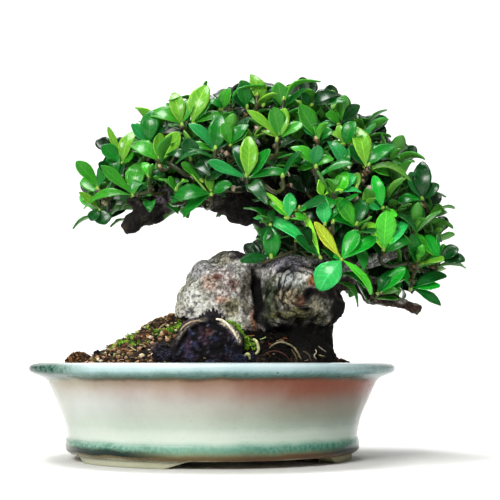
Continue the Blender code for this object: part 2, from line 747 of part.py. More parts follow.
def grow_spray(tips, axes, wood, others, collection):
    """A twig on the nearest wood to the first tip, and a side twig off it to the second."""
    for attempt in range(TRIES):
        lean = Matrix.Rotation(attempt * GOLDEN_TURN, 3, axes[0]) @ axes[0].orthogonal()
        base = wood.find_nearest(tips[0] + lean.normalized() * FOOT_STEP * attempt)[0]
        way = (tips[0] - base).normalized()
        end = base + way * max((tips[0] - base).length, SHORTEST_TWIG)
        stations = twig_stations(base + way * FIT_GAP, end, axes[0])
        grown = clear_twig(stations, wood, others, collection)
        if grown:
            break
    else:
        return None
    spray = {"twigs": [grown[0]], "solids": [grown[1]], "rosettes": [(end, axes[0])], "leaves": []}
    for share in FORKS if len(tips) > 1 else ():
        start = Vector(stations[0][:3]).lerp(Vector(stations[1][:3]), share)
        side = clear_twig(twig_stations(start, tips[1], axes[1]), wood, others, collection)
        if side:
            spray["twigs"].append(side[0])
            spray["solids"].append(side[1])
            spray["rosettes"].append((tips[1], axes[1]))
            break
    return spray


def grow_sprays(trunk, collection):
    """Every leafy spray: twigs first, then leaves that keep clear of wood and of the other sprays."""
    bm = bmesh.new()
    bm.from_mesh(trunk.data)
    wood = tree_of(bm)
    bm.free()
    rng = random.Random(SEED)
    sprays = []
    waiting = paired(shoot_tips())
    while waiting and len(sprays) < MOST_SPRAYS:
        tips = sorted(waiting.pop(0), key=lambda tip: wood.find_nearest(tip)[3])
        axes = [shoot_axis(tip, rng) for tip in tips]
        others = [solid for spray in sprays for solid in spray["solids"]]
        spray = grow_spray(tips, axes, wood, others, collection)
        if spray:
            sprays.append(spray)
        if len(tips) > 1 and (not spray or len(spray["rosettes"]) < 2):
            waiting.append([tips[1]])
    for spray in sprays:
        for tip, axis in spray["rosettes"]:
            grow_rosette(spray, sprays, wood, tip, axis, rng)
    for number, spray in enumerate(sprays):
        body, *rest = spray["twigs"]
        body.name = f"spray_{number + 1:02d}"
        rest += [add_object("leaf", mesh, collection) for mesh in spray["leaves"]]
        boolean(body, rest, "UNION")
        drop_scrap(body)
    return [spray["twigs"][0] for spray in sprays]


def grow_rosette(spray, sprays, wood, tip, axis, rng):
    """Pairs of leaves set crosswise, opening less and less towards the tip."""
    first_turn = rng.uniform(0, math.pi)
    here = [s for s in sprays if min((t - tip).length for t, _ in s["rosettes"]) < NEIGHBOURS]
    barriers = [wood] + [solid for s in here if s is not spray for solid in s["solids"]]
    for pair, (open_angle, length, half_width) in enumerate(LEAF_PAIRS):
        root = tip - axis * PAIR_STEP * (2 - pair)
        for side in range(2):
            turn = first_turn + math.pi * side + math.pi / 2 * pair
            turn += rng.uniform(-TURN_SPREAD, TURN_SPREAD)
            tilt = open_angle + rng.uniform(-TILT_SPREAD, TILT_SPREAD)
            size = rng.uniform(*LEAF_SIZES)
            roll = rng.uniform(-ROLL_SPREAD, ROLL_SPREAD)
            if pair < 2 or side == 0 and tip.y < BACK:
                place_leaf(spray, barriers, root, axis, (turn, tilt, size, roll), length, half_width)


def place_leaf(spray, barriers, root, axis, draw, length, half_width):
    """Adds the leaf where it is clear and hangs little, bending it aside and shortening it if need be."""
    turn, tilt, size, roll = draw
    for attempt in range(TRIES):
        aside = (-1) ** attempt * ASIDE_STEP * ((attempt + 1) // 2)
        scale = size * (1 - SHORTEN_STEP * attempt)
        frame = leaf_frame(root, axis, tilt - CLOSE_STEP * attempt, turn + aside, roll)
        guard = leaf_body(length * scale, half_width * scale, FIT_GAP, frame)
        solid = tree_of(guard)
        guard.free()
        end = frame @ Vector((length * scale, 0, 0))
        if end.z < skirt(end.x) - HANG or any(solid.overlap(barrier) for barrier in barriers):
            continue
        bm = leaf_body(length * scale, half_width * scale, 0, frame)
        mesh = bpy.data.meshes.new("leaf")
        bm.to_mesh(mesh)
        spray["leaves"].append(mesh)
        spray["solids"].append(tree_of(bm))
        bm.free()
        return


def shade_round(obj):
    """Shades round faces smooth and keeps its real edges sharp."""
    obj.data.shade_smooth()
    obj.data.set_sharp_from_angle(angle=CREASE)


def main():
    for obj in list(bpy.data.objects):
        bpy.data.objects.remove(obj)
    parts = bpy.data.collections.new("gardenia_bonsai")
    cutters = bpy.data.collections.new("cutters")
    for collection in (parts, cutters):
        bpy.context.scene.collection.children.link(collection)
    looks = {
        "pot": material("glaze", (0.72, 0.73, 0.62), 0.15),
        "soil": material("soil", (0.10, 0.06, 0.04), 0.95),
        "trunk": material("bark", (0.33, 0.30, 0.26), 0.80),
        "drain_screen_left": material("black_mesh", (0.02, 0.02, 0.02), 0.50),
        "leaf": material("leaf", (0.06, 0.30, 0.05), 0.30),
    }
    looks["drain_screen_right"] = looks["drain_screen_left"]
    pot = make_pot(parts, cutters)
    trunk = make_trunk(parts)
    soil = make_soil(parts)
    cut_root_hole(soil, trunk, cutters)
    cut_screen_pockets(soil, cutters)
    screens = [
        make_screen("drain_screen_left", DRAIN_PLACES[0], parts),
        make_screen("drain_screen_right", DRAIN_PLACES[1], parts),
    ]
    sprays = grow_sprays(trunk, parts)
    stand = bpy.data.objects.new("pot_axis", None)
    stand.location = POT_AXIS
    parts.objects.link(stand)
    for obj in [pot, trunk, soil, *screens, *sprays]:
        obj.parent = stand
        obj.data.materials.clear()
        obj.data.materials.append(looks.get(obj.name, looks["leaf"]))
    for obj in (pot, trunk, soil):
        shade_round(obj)
    bpy.context.view_layer.update()


main()
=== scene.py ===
"""Gardenia bonsai in a round glazed pot: its finished look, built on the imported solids."""

import math
import random

import bmesh
import bpy
from mathutils import Matrix, Vector, noise
from mathutils.bvhtree import BVHTree


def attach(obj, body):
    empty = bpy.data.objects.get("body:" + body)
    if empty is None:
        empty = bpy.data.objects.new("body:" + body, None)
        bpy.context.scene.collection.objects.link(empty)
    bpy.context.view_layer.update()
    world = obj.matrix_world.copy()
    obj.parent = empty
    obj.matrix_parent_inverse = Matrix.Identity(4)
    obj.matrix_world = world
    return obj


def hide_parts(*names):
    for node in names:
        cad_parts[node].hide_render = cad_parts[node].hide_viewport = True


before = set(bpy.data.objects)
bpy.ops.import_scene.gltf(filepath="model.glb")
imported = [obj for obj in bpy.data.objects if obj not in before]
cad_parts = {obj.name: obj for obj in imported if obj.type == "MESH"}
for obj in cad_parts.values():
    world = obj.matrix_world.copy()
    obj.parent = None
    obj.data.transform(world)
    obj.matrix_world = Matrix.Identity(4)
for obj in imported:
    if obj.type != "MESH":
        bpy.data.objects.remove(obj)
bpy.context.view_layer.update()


# Camera and studio
# The camera stands level with the pot's lip and looks up a little, half a metre in front of the tree.
# A pale sweep runs under the pot and up behind it, and large soft lamps light it from the front left.
POT_AXIS = Vector((-0.0156, 0.0, 0.0))
EYE = Vector((0.0159, -0.5160, 0.0400))
LENS = 86.3
LOOK_UP = math.radians(95.4)
SWEEP_WIDTH = 5.0


def add_camera():
    lens = bpy.data.cameras.new("camera")
    lens.lens = LENS
    lens.sensor_width = 36
    lens.clip_start = 0.01
    camera = bpy.data.objects.new("camera", lens)
    camera.location = POT_AXIS + EYE
    camera.rotation_euler = (LOOK_UP, 0, 0)
    bpy.context.scene.collection.objects.link(camera)
    bpy.context.scene.camera = camera


def add_lamp(name, place, aim, size, power, colour):
    lamp = bpy.data.lights.new(name, "AREA")
    lamp.shape = "SQUARE"
    lamp.size = size
    lamp.energy = power
    lamp.color = colour
    holder = bpy.data.objects.new(name, lamp)
    holder.location = place
    holder.rotation_euler = (Vector(aim) - Vector(place)).to_track_quat("-Z", "Y").to_euler()
    bpy.context.scene.collection.objects.link(holder)


def add_node(tree, kind, inputs, **settings):
    """A shader node with its settings, and its inputs set or linked."""
    made = tree.nodes.new(kind)
    for key, value in settings.items():
        setattr(made, key, value)
    for key, value in inputs.items():
        if isinstance(value, bpy.types.NodeSocket):
            tree.links.new(value, made.inputs[key])
        else:
            made.inputs[key].default_value = value
    return made


def tone(red, green, blue):
    """A colour given in 0 to 255, as the renderer wants it."""
    levels = [
        c / 255 / 12.92 if c <= 10 else ((c / 255 + 0.055) / 1.055) ** 2.4
        for c in (red, green, blue)
    ]
    return (*levels, 1.0)


def new_finish(name, roughness):
    finish = bpy.data.materials.new(name)
    finish.use_nodes = True
    tree = finish.node_tree
    shader = tree.nodes["Principled BSDF"]
    shader.inputs["Roughness"].default_value = roughness
    return finish, tree, shader


def add_floor():
    finish, tree, shader = new_finish("pale_paper", 0.9)
    place = add_node(tree, "ShaderNodeTexCoord", {})
    grain = add_node(tree, "ShaderNodeTexNoise", {"Vector": place.outputs["Object"], "Scale": 40.0})
    shades = add_node(tree, "ShaderNodeValToRGB", {"Fac": grain.outputs["Fac"]})
    shades.color_ramp.elements[0].color = tone(238, 238, 237)
    shades.color_ramp.elements[1].color = tone(246, 246, 245)
    tree.links.new(shades.outputs["Color"], shader.inputs["Base Color"])
    bm = bmesh.new()
    bend = 0.8
    places = [(-2.0, 0.0), (bend, 0.0)]
    for turn in (0.3, 0.6, 0.9, 1.2, math.pi / 2):
        places.append((bend + bend * math.sin(turn), bend - bend * math.cos(turn)))
    places.append((2 * bend, 2.6))
    line = [bm.verts.new((-SWEEP_WIDTH / 2, y, z)) for y, z in places]
    edges = [bm.edges.new(pair) for pair in zip(line, line[1:])]
    wide = bmesh.ops.extrude_edge_only(bm, edges=edges)["geom"]
    far_side = [v for v in wide if isinstance(v, bmesh.types.BMVert)]
    bmesh.ops.translate(bm, verts=far_side, vec=(SWEEP_WIDTH, 0, 0))
    bmesh.ops.recalc_face_normals(bm, faces=bm.faces)
    mesh = bpy.data.meshes.new("sweep")
    bm.to_mesh(mesh)
    bm.free()
    mesh.shade_smooth()
    mesh.materials.append(finish)
    sweep = bpy.data.objects.new("sweep", mesh)
    bpy.context.scene.collection.objects.link(sweep)


add_camera()
add_floor()
middle = (0.01, 0.0, 0.09)
add_lamp("window", (-0.34, -0.80, 0.52), middle, 0.34, 8.8, (1.0, 0.99, 0.96))
add_lamp("overhead", (-0.14, -0.02, 0.95), middle, 0.42, 8.5, (1.0, 1.0, 1.0))
add_lamp("fill", (0.85, -0.55, 0.35), middle, 0.70, 0.9, (0.97, 0.99, 1.0))
add_lamp("behind", (-0.25, 1.05, 0.75), middle, 0.90, 3.0, (1.0, 1.0, 1.0))
add_lamp("backdrop", (0.0, 0.62, 1.15), (0.0, 1.60, 0.45), 0.90, 15.0, (1.0, 1.0, 1.0))
world = bpy.data.worlds.new("studio")
world.use_nodes = True
world.node_tree.nodes["Background"].inputs["Color"].default_value = (1.0, 1.0, 1.0, 1.0)
world.node_tree.nodes["Background"].inputs["Strength"].default_value = 0.11
bpy.context.scene.world = world
bpy.context.scene.view_settings.view_transform = "Standard"


# Pot
# One piece of thrown stoneware: a rolled lip, a flared wall, a bead and three low feet.
# Cream glaze runs over it, blue-green where it pools on the lip and the bead, and brown where it is thin;
# painted shade darkens it under the lip, under the bead, at the far left and at the right.
# Profiles are given as radius and height, feet as the turn of the middle and the slope of the sides
FLOOR_TOP = 0.0090
FOOT_HEIGHT = 0.0031
INSIDE = [(0.0565, FLOOR_TOP), (0.0580, 0.0130), (0.0625, 0.0280)]
LIP_AND_WALL = [
    (0.0690, 0.0375),
    (0.0708, 0.0400),
    (0.0748, 0.0400),
    (0.0770, 0.0391),
    (0.0775, 0.0377),
    (0.0764, 0.0362),
    (0.0708, 0.0337),
    (0.0685, 0.0300),
    (0.0660, 0.0245),
    (0.0630, 0.0175),
    (0.0613, 0.0102),
    (0.0619, 0.0088),
    (0.0621, 0.0048),
    (0.0604, FOOT_HEIGHT),
]
FOOT_RING = (0.0510, 0.0590)
FOOT_ARC = math.radians(67)
FEET = [(math.radians(turn), math.radians(slope)) for turn, slope in ((-38, 12), (86, 7), (204, 7))]
FOOT_SINK = 0.0008
DRAIN_PLACES = (-0.024, 0.024)
DRAIN_RADIUS = 0.0055
DRILL_LENGTH = 0.02
GLAZED_HEIGHT = 0.0405


def rounded_line(points, steps):
    """The points with a smooth curve drawn through them."""
    line = []
    ends = [points[0], *points, points[-1]]
    for a, b, c, d in zip(ends, ends[1:], ends[2:], ends[3:]):
        for i in range(steps):
            t = i / steps
            line.append(tuple(
                0.5 * (2 * b[k] + (c[k] - a[k]) * t + (2 * a[k] - 5 * b[k] + 4 * c[k] - d[k]) * t * t
                       + (3 * b[k] - a[k] - 3 * c[k] + d[k]) * t**3)
                for k in (0, 1)
            ))
    return line + [points[-1]]


def turned_body(profile, steps):
    """The body that a profile of radius and height makes when it is turned round the pot's axis."""
    bm = bmesh.new()
    verts = [bm.verts.new((radius, 0, height)) for radius, height in profile]
    edges = [bm.edges.new(pair) for pair in zip(verts, verts[1:])]
    bmesh.ops.spin(
        bm, geom=verts + edges, axis=(0, 0, 1), angle=2 * math.pi, steps=steps,
        use_merge=True, use_duplicate=False,
    )
    bmesh.ops.remove_doubles(bm, verts=bm.verts, dist=1e-6)
    bmesh.ops.recalc_face_normals(bm, faces=bm.faces)
    return bm


def add_piece(name, bm, finish, nodes, crease=None):
    """Moves a mesh from the pot's axis to its place in the frame, and adds it for the nodes it replaces."""
    bmesh.ops.translate(bm, verts=bm.verts, vec=POT_AXIS)
    mesh = bpy.data.meshes.new(name)
    bm.to_mesh(mesh)
    bm.free()
    mesh.shade_smooth()
    if crease:
        mesh.set_sharp_from_angle(angle=math.radians(crease))
    mesh.materials.append(finish)
    piece = bpy.data.objects.new(name, mesh)
    bpy.context.scene.collection.objects.link(piece)
    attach(piece, "root")
    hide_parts(*nodes)


def bake(obj):
    """Applies the object's modifiers to its mesh."""
    graph = bpy.context.evaluated_depsgraph_get()
    mesh = bpy.data.meshes.new_from_object(obj.evaluated_get(graph))
    obj.modifiers.clear()
    obj.data = mesh


def loose_object(name, bm):
    mesh = bpy.data.meshes.new(name)
    bm.to_mesh(mesh)
    bm.free()
    made = bpy.data.objects.new(name, mesh)
    bpy.context.scene.collection.objects.link(made)
    return made


def foot_body(turn, slope):
    """One foot: an arc of the ring under the base, narrower at the ground than at the top."""
    high = FOOT_HEIGHT + FOOT_SINK
    corners = [(FOOT_RING[0], 0), (FOOT_RING[1], 0), (FOOT_RING[1], high), (FOOT_RING[0], high)]
    bm = bmesh.new()
    verts = [bm.verts.new((0, -radius, height)) for radius, height in corners]
    edges = [bm.edges.new((verts[i], verts[(i + 1) % 4])) for i in range(4)]
    bmesh.ops.spin(bm, geom=verts + edges, axis=(0, 0, 1), angle=FOOT_ARC, steps=20, use_duplicate=False)
    bmesh.ops.remove_doubles(bm, verts=bm.verts, dist=1e-6)
    bmesh.ops.holes_fill(bm, edges=[e for e in bm.edges if e.is_boundary], sides=4)
    bmesh.ops.rotate(bm, verts=bm.verts, matrix=Matrix.Rotation(-FOOT_ARC / 2, 3, "Z"))
    narrowing = 1 - 2 * slope / FOOT_ARC
    for vert in bm.verts:
        if vert.co.z < high / 2:
            angle = math.atan2(vert.co.x, -vert.co.y)
            vert.co = Matrix.Rotation(angle * (narrowing - 1), 3, "Z") @ vert.co
    bmesh.ops.rotate(bm, verts=bm.verts, matrix=Matrix.Rotation(turn, 3, "Z"))
    bmesh.ops.recalc_face_normals(bm, faces=bm.faces)
    sharp = [e for e in bm.edges if e.calc_face_angle(0) > 0.9]
    bmesh.ops.bevel(bm, geom=sharp, offset=0.0006, segments=2, affect="EDGES", profile=0.5, material=-1)
    return bm


def glaze_bands(tree, height, side):
    """The glaze's colours up the wall, from the bare foot to the lip, on the cool side or on the warm, partly
    shaded one.
    """
    ramp = add_node(tree, "ShaderNodeValToRGB", {"Fac": height})
    # Painted shade: the warm side's browns are partly a blush in the glaze and partly painted shade, and the
    # dark bands above the feet and just under the lip are partly rust and brown glaze and partly painted
    # shade
    stops = [
        (0.000, (204, 202, 178), (166, 160, 128)),
        (0.066, (208, 206, 182), (172, 166, 132)),
        (0.084, (132, 112, 80), (112, 76, 50)),
        (0.118, (128, 120, 88), (104, 74, 50)),
        (0.150, (146, 166, 136), (110, 124, 96)),
        (0.178, (150, 188, 168), (98, 148, 128)),
        (0.208, (166, 202, 184), (118, 166, 146)),
        (0.238, (208, 222, 208), (176, 202, 184)),
        (0.268, (224, 230, 218), (210, 222, 206)),
        (0.325, (220, 226, 214), (210, 218, 206)),
        (0.390, (206, 214, 200), (174, 184, 170)),
        (0.480, (208, 212, 202), (158, 158, 142)),
        (0.600, (212, 212, 206), (150, 134, 120)),
        (0.665, (208, 204, 198), (146, 112, 98)),
        (0.725, (204, 194, 184), (146, 88, 70)),
        (0.815, (184, 168, 146), (142, 74, 52)),
        (0.845, (92, 88, 66), (96, 60, 46)),
        (0.862, (92, 124, 108), (70, 108, 100)),
        (0.890, (132, 168, 160), (118, 156, 154)),
        (0.925, (190, 214, 212), (178, 202, 204)),
        (0.990, (226, 234, 234), (214, 224, 226)),
    ]
    elements = ramp.color_ramp.elements
    elements[0].position, elements[0].color = stops[0][0], tone(*stops[0][side])
    elements[1].position, elements[1].color = stops[-1][0], tone(*stops[-1][side])
    for stop in stops[1:-1]:
        elements.new(stop[0]).color = tone(*stop[side])
    return ramp.outputs["Color"]


def mixed(tree, factor, first, second, blend="MIX"):
    """The second colour over the first, by a factor."""
    made = add_node(tree, "ShaderNodeMix", {}, data_type="RGBA", blend_type=blend)
    for index, value in ((0, factor), (6, first), (7, second)):
        if isinstance(value, bpy.types.NodeSocket):
            tree.links.new(value, made.inputs[index])
        else:
            made.inputs[index].default_value = value
    return made.outputs[2]


def figure(tree, operation, first, second=0.0):
    made = add_node(tree, "ShaderNodeMath", {0: first, 1: second}, operation=operation)
    return made.outputs["Value"]


def product(tree, first, *others):
    """The first value multiplied by each of the others."""
    for other in others:
        first = figure(tree, "MULTIPLY", first, other)
    return first


def spread(tree, value, low, high, to_low=0.0, to_high=1.0):
    """A value between low and high, spread over another range and kept inside it."""
    made = add_node(
        tree, "ShaderNodeMapRange",
        {"Value": value, "From Min": low, "From Max": high, "To Min": to_low, "To Max": to_high},
    )
    return made.outputs["Result"]


def mottle(tree, place, scale, detail=4.0):
    made = add_node(
        tree, "ShaderNodeTexNoise", {"Vector": place, "Scale": scale, "Detail": detail, "Roughness": 0.6}
    )
    return made.outputs["Fac"]


def glaze():
    finish, tree, shader = new_finish("celadon_glaze", 0.12)
    place = add_node(tree, "ShaderNodeTexCoord", {}).outputs["Object"]
    apart = add_node(tree, "ShaderNodeSeparateXYZ", {"Vector": place})
    runs = product(tree, figure(tree, "SUBTRACT", mottle(tree, place, 70.0), 0.5), 0.0024)
    fine_runs = product(tree, figure(tree, "SUBTRACT", mottle(tree, place, 900.0), 0.5), 0.0010)
    height = figure(tree, "ADD", figure(tree, "ADD", apart.outputs["Z"], runs), fine_runs)
    share = figure(tree, "DIVIDE", height, GLAZED_HEIGHT)
    across = figure(tree, "SUBTRACT", apart.outputs["X"], POT_AXIS.x)

    # The colours up the wall turn from cool at the left to warm at the right, partly a blush in the glaze and
    # partly painted shade
    warmth_and_shade = figure(tree, "ADD", across, product(tree, mottle(tree, place, 35.0), 0.05))
    side = spread(tree, warmth_and_shade, -0.025, 0.065)
    colour = mixed(tree, side, glaze_bands(tree, share, 1), glaze_bands(tree, share, 2))

    # A dark line under the bead towards both sides, partly dark glaze and partly painted shade, and painted
    # shade as a tan edge at the far left
    ends = figure(
        tree, "MAXIMUM", spread(tree, across, -0.012, -0.032), spread(tree, across, 0.040, 0.054)
    )
    line = product(tree, spread(tree, share, 0.096, 0.110), spread(tree, share, 0.182, 0.150))
    colour = mixed(tree, product(tree, line, ends, 0.95), colour, tone(10, 34, 34))
    thin = product(tree, spread(tree, across, -0.052, -0.072), 0.70)
    colour = mixed(tree, thin, colour, tone(148, 144, 110))

    # Blue-green glaze pools on the lip and on the bead, with dark specks
    pooled = figure(
        tree, "MAXIMUM", spread(tree, across, -0.044, -0.062), spread(tree, across, 0.030, 0.084, 0.0, 0.6)
    )
    on_lip = product(tree, spread(tree, share, 0.80, 0.86), pooled)
    to_sides = spread(tree, figure(tree, "ABSOLUTE", across), 0.010, 0.040, 0.3, 1.0)
    on_bead = product(tree, spread(tree, share, 0.130, 0.165), spread(tree, share, 0.236, 0.200), to_sides)
    specks = spread(tree, mottle(tree, place, 620.0, 7.0), 0.44, 0.58)
    pale = figure(tree, "ADD", product(tree, specks, 0.20), 0.80)
    colour = mixed(tree, product(tree, on_lip, pale), colour, tone(54, 108, 92))
    colour = mixed(tree, product(tree, on_lip, on_lip, specks, 0.8), colour, tone(10, 40, 42))
    edge = product(tree, spread(tree, share, 0.852, 0.862), spread(tree, share, 0.915, 0.870))
    colour = mixed(tree, product(tree, edge, specks, 0.45), colour, tone(36, 84, 92))
    colour = mixed(tree, product(tree, on_bead, specks, 0.55), colour, tone(20, 104, 88))

    # Soft clouds, freckles and a few dark iron spots
    cloud = spread(tree, mottle(tree, place, 28.0), 0.35, 0.65)
    clouds = mixed(tree, cloud, tone(214, 218, 196), tone(112, 120, 104))
    colour = mixed(tree, 0.30, colour, clouds, "SOFT_LIGHT")
    freckle = spread(tree, mottle(tree, place, 1500.0, 1.0), 0.70, 0.74)
    colour = mixed(tree, product(tree, freckle, 0.30), colour, tone(96, 96, 80))
    cells = add_node(tree, "ShaderNodeTexVoronoi", {"Vector": place, "Scale": 62.0})
    spot = spread(tree, cells.outputs["Distance"], 0.030, 0.050, 1.0, 0.0)
    colour = mixed(tree, spot, colour, tone(40, 30, 26))
    colour = mixed(tree, 1.0, colour, (0.76, 0.79, 0.82, 1.0), "MULTIPLY")
    tree.links.new(colour, shader.inputs["Base Color"])

    # The feet are bare and rough below the glaze, and the pooled glaze on the lip shines less
    rough = spread(tree, apart.outputs["Z"], 0.0028, 0.0036, 0.62, 0.16)
    tree.links.new(rough, shader.inputs["Roughness"])
    dent = add_node(
        tree, "ShaderNodeBump",
        {"Strength": 0.18, "Distance": 0.0006, "Height": mottle(tree, place, 120.0, 3.0)},
    )
    tree.links.new(dent.outputs["Normal"], shader.inputs["Normal"])
    dull = figure(tree, "SUBTRACT", 0.14, product(tree, on_lip, 0.12))
    tree.links.new(dull, shader.inputs["Specular IOR Level"])
    return finish


def add_pot():
    profile = [(0.0, FLOOR_TOP), *INSIDE, *rounded_line(LIP_AND_WALL, 5), (0.0, FOOT_HEIGHT)]
    wall = loose_object("wall", turned_body(profile, 128))
    for x in DRAIN_PLACES:
        bm = bmesh.new()
        bmesh.ops.create_cone(
            bm, cap_ends=True, segments=32, radius1=DRAIN_RADIUS, radius2=DRAIN_RADIUS, depth=DRILL_LENGTH
        )
        bmesh.ops.translate(bm, verts=bm.verts, vec=(x, 0, FLOOR_TOP / 2 + FOOT_HEIGHT / 2))
        drill = loose_object("drill", bm)
        cut = wall.modifiers.new("drain", "BOOLEAN")
        cut.operation = "DIFFERENCE"
        cut.object = drill
        bpy.context.view_layer.update()
        bake(wall)
        bpy.data.objects.remove(drill)
    bm = bmesh.new()
    bm.from_mesh(wall.data)
    bpy.data.objects.remove(wall)
    for turn, slope in FEET:
        foot = loose_object("foot", foot_body(turn, slope))
        bm.from_mesh(foot.data)
        bpy.data.objects.remove(foot)
    add_piece("glazed_pot", bm, glaze(), ["pot"], crease=50)


add_pot()


# Trunk, roots and woody branches
# One grown piece: a pale rounded hump, a burl with rolled scar rings, a sawn-off root with a dark heart,
# and limbs that bend left and right under the leaves. Weathered grey bark covers all of it.
# A rod is a list of stations and a knob is one station, each x, y, z from the pot's axis and a radius
ROOT_HUMP = [
    (0.0015, 0.0000, 0.0340, 0.0215),
    (0.0018, 0.0000, 0.0480, 0.0210),
    (0.0025, 0.0000, 0.0600, 0.0194),
    (0.0033, 0.0000, 0.0680, 0.0178),
    (0.0045, 0.0005, 0.0750, 0.0158),
    (0.0065, 0.0010, 0.0800, 0.0130),
]
TRUNK_FOOT = [
    (0.0335, 0.0040, 0.0300, 0.0180),
    (0.0345, 0.0050, 0.0460, 0.0168),
    (0.0360, 0.0050, 0.0600, 0.0160),
    (0.0370, 0.0050, 0.0760, 0.0145),
]
SADDLE = [
    (0.0080, 0.0020, 0.0770, 0.0110),
    (0.0220, 0.0060, 0.0775, 0.0100),
    (0.0360, 0.0040, 0.0770, 0.0115),
]
SAWN_ROOT = [
    (-0.0010, -0.0080, 0.0430, 0.0172),
    (-0.0010, -0.0290, 0.0440, 0.0154),
    (-0.0004, -0.0490, 0.0440, 0.0140),
]
SAWN_X, _, SAWN_Z, SAWN_RADIUS = SAWN_ROOT[-1]
SAWN_BACK = -0.0440
HEAVY_KNOBS = [
    (0.0075, 0.0010, 0.0765, 0.0125),
    (0.0375, -0.0040, 0.0715, 0.0174),
    (0.0290, -0.0120, 0.0640, 0.0090),
    (0.0480, -0.0080, 0.0640, 0.0085),
    (0.0340, -0.0080, 0.0800, 0.0095),
    (-0.0050, -0.0060, 0.0640, 0.0120),
    (0.0130, -0.0060, 0.0560, 0.0130),
]
BURL_EYE = Vector((0.0400, -0.0205, 0.0690))
BURL_RING_PITCH = 0.0052
BURL_RING_RELIEF = 0.0007
BURL_RING_SWAY = 0.0016
BURL_RING_SIDE = Vector((-0.85, -0.20, -0.48))
BURL_RING_REACH = 0.0190
LUMPS_END = 0.1000
LUMPS_FADE = 0.0200
LUMP_SIZE = 0.0110
LUMP_RELIEF = 0.0014
MAIN_LIMB = [
    (0.0360, 0.0040, 0.0760, 0.0140),
    (0.0375, 0.0070, 0.0880, 0.0118),
    (0.0340, 0.0090, 0.0980, 0.0104),
    (0.0265, 0.0090, 0.1060, 0.0094),
    (0.0170, 0.0070, 0.1100, 0.0086),
    (0.0060, 0.0030, 0.1115, 0.0074),
    (-0.0060, 0.0000, 0.1125, 0.0056),
    (-0.0170, -0.0030, 0.1110, 0.0046),
    (-0.0260, -0.0040, 0.1060, 0.0046),
    (-0.0325, -0.0050, 0.1015, 0.0040),
    (-0.0385, -0.0050, 0.0970, 0.0026),
]
LIGHT_KNOBS = [
    (-0.0262, -0.0055, 0.1045, 0.0056),
    (-0.0180, -0.0045, 0.1120, 0.0058),
    (-0.0345, -0.0060, 0.0995, 0.0042),
    (0.0130, 0.0040, 0.1090, 0.0092),
    (0.0675, -0.0040, 0.0690, 0.0048),
    (0.0590, -0.0020, 0.0775, 0.0072),
]
CROWN_LEADER = [
    (0.0345, 0.0090, 0.0990, 0.0085),
    (0.0360, 0.0100, 0.1120, 0.0068),
    (0.0330, 0.0080, 0.1250, 0.0052),
    (0.0260, 0.0050, 0.1370, 0.0036),
    (0.0210, 0.0030, 0.1450, 0.0020),
]
RIGHT_LIMB = [
    (0.0360, 0.0090, 0.1010, 0.0075),
    (0.0480, 0.0100, 0.1120, 0.0062),
    (0.0610, 0.0100, 0.1190, 0.0048),
    (0.0730, 0.0110, 0.1190, 0.0036),
    (0.0830, 0.0120, 0.1150, 0.0022),
]
LOW_LIMB = [
    (0.0460, 0.0020, 0.0800, 0.0085),
    (0.0575, -0.0010, 0.0775, 0.0066),
    (0.0670, -0.0030, 0.0725, 0.0050),
    (0.0765, -0.0040, 0.0672, 0.0036),
    (0.0885, -0.0040, 0.0625, 0.0022),
]
BRANCHES = [
    [(0.0575, -0.001, 0.0785, 0.0040), (0.069, -0.010, 0.084, 0.0030), (0.082, -0.013, 0.087, 0.0020)],
    [(0.0575, 0.001, 0.0785, 0.0040), (0.069, 0.012, 0.083, 0.0030), (0.080, 0.021, 0.087, 0.0018)],
    [(0.0390, 0.003, 0.0900, 0.0042), (0.044, -0.009, 0.096, 0.0032), (0.050, -0.020, 0.101, 0.0019)],
    [(0.0350, -0.002, 0.0880, 0.0036), (0.032, -0.013, 0.093, 0.0026), (0.030, -0.022, 0.098, 0.0018)],
    [(-0.006, 0.000, 0.1135, 0.0036), (-0.011, -0.009, 0.121, 0.0028), (-0.016, -0.016, 0.129, 0.0018)],
    [(-0.010, 0.000, 0.1130, 0.0036), (-0.016, 0.010, 0.120, 0.0028), (-0.021, 0.019, 0.125, 0.0018)],
    [(-0.0285, -0.004, 0.1050, 0.0030), (-0.036, -0.006, 0.111, 0.0024), (-0.042, -0.006, 0.116, 0.0017)],
    [(-0.017, -0.002, 0.1115, 0.0032), (-0.024, -0.001, 0.121, 0.0025), (-0.029, 0.001, 0.129, 0.0017)],
    [(0.006, 0.003, 0.1145, 0.0040), (0.004, 0.003, 0.126, 0.0030), (0.002, 0.002, 0.137, 0.0019)],
    [(0.0265, 0.008, 0.1100, 0.0042), (0.022, -0.005, 0.119, 0.0032), (0.019, -0.017, 0.127, 0.0019)],
    [(0.0300, 0.010, 0.1070, 0.0042), (0.026, 0.022, 0.116, 0.0032), (0.021, 0.032, 0.123, 0.0019)],
    [(0.048, 0.010, 0.1130, 0.0040), (0.051, 0.006, 0.126, 0.0030), (0.053, 0.003, 0.137, 0.0019)],
    [(0.055, 0.010, 0.1165, 0.0036), (0.061, -0.003, 0.121, 0.0028), (0.064, -0.015, 0.124, 0.0018)],
    [(0.058, 0.010, 0.1180, 0.0036), (0.064, 0.021, 0.123, 0.0028), (0.067, 0.031, 0.126, 0.0018)],
    [(0.037, 0.010, 0.0920, 0.0042), (0.040, 0.022, 0.097, 0.0032), (0.042, 0.033, 0.101, 0.0019)],
]
ROOTS = [
    [(0.042, -0.004, 0.0450, 0.0062), (0.047, -0.015, 0.0430, 0.0042), (0.050, -0.024, 0.0345, 0.0034)],
    [(0.036, -0.010, 0.0460, 0.0060), (0.038, -0.025, 0.0440, 0.0040), (0.043, -0.035, 0.0345, 0.0034)],
    [(0.040, 0.018, 0.0450, 0.0070), (0.043, 0.031, 0.0430, 0.0046), (0.042, 0.041, 0.0335, 0.0036)],
    [(0.004, 0.014, 0.0520, 0.0085), (0.002, 0.030, 0.0500, 0.0056), (-0.002, 0.043, 0.0370, 0.0036)],
    [(-0.014, 0.010, 0.0540, 0.0070), (-0.027, 0.017, 0.0520, 0.0046), (-0.037, 0.022, 0.0390, 0.0036)],
]
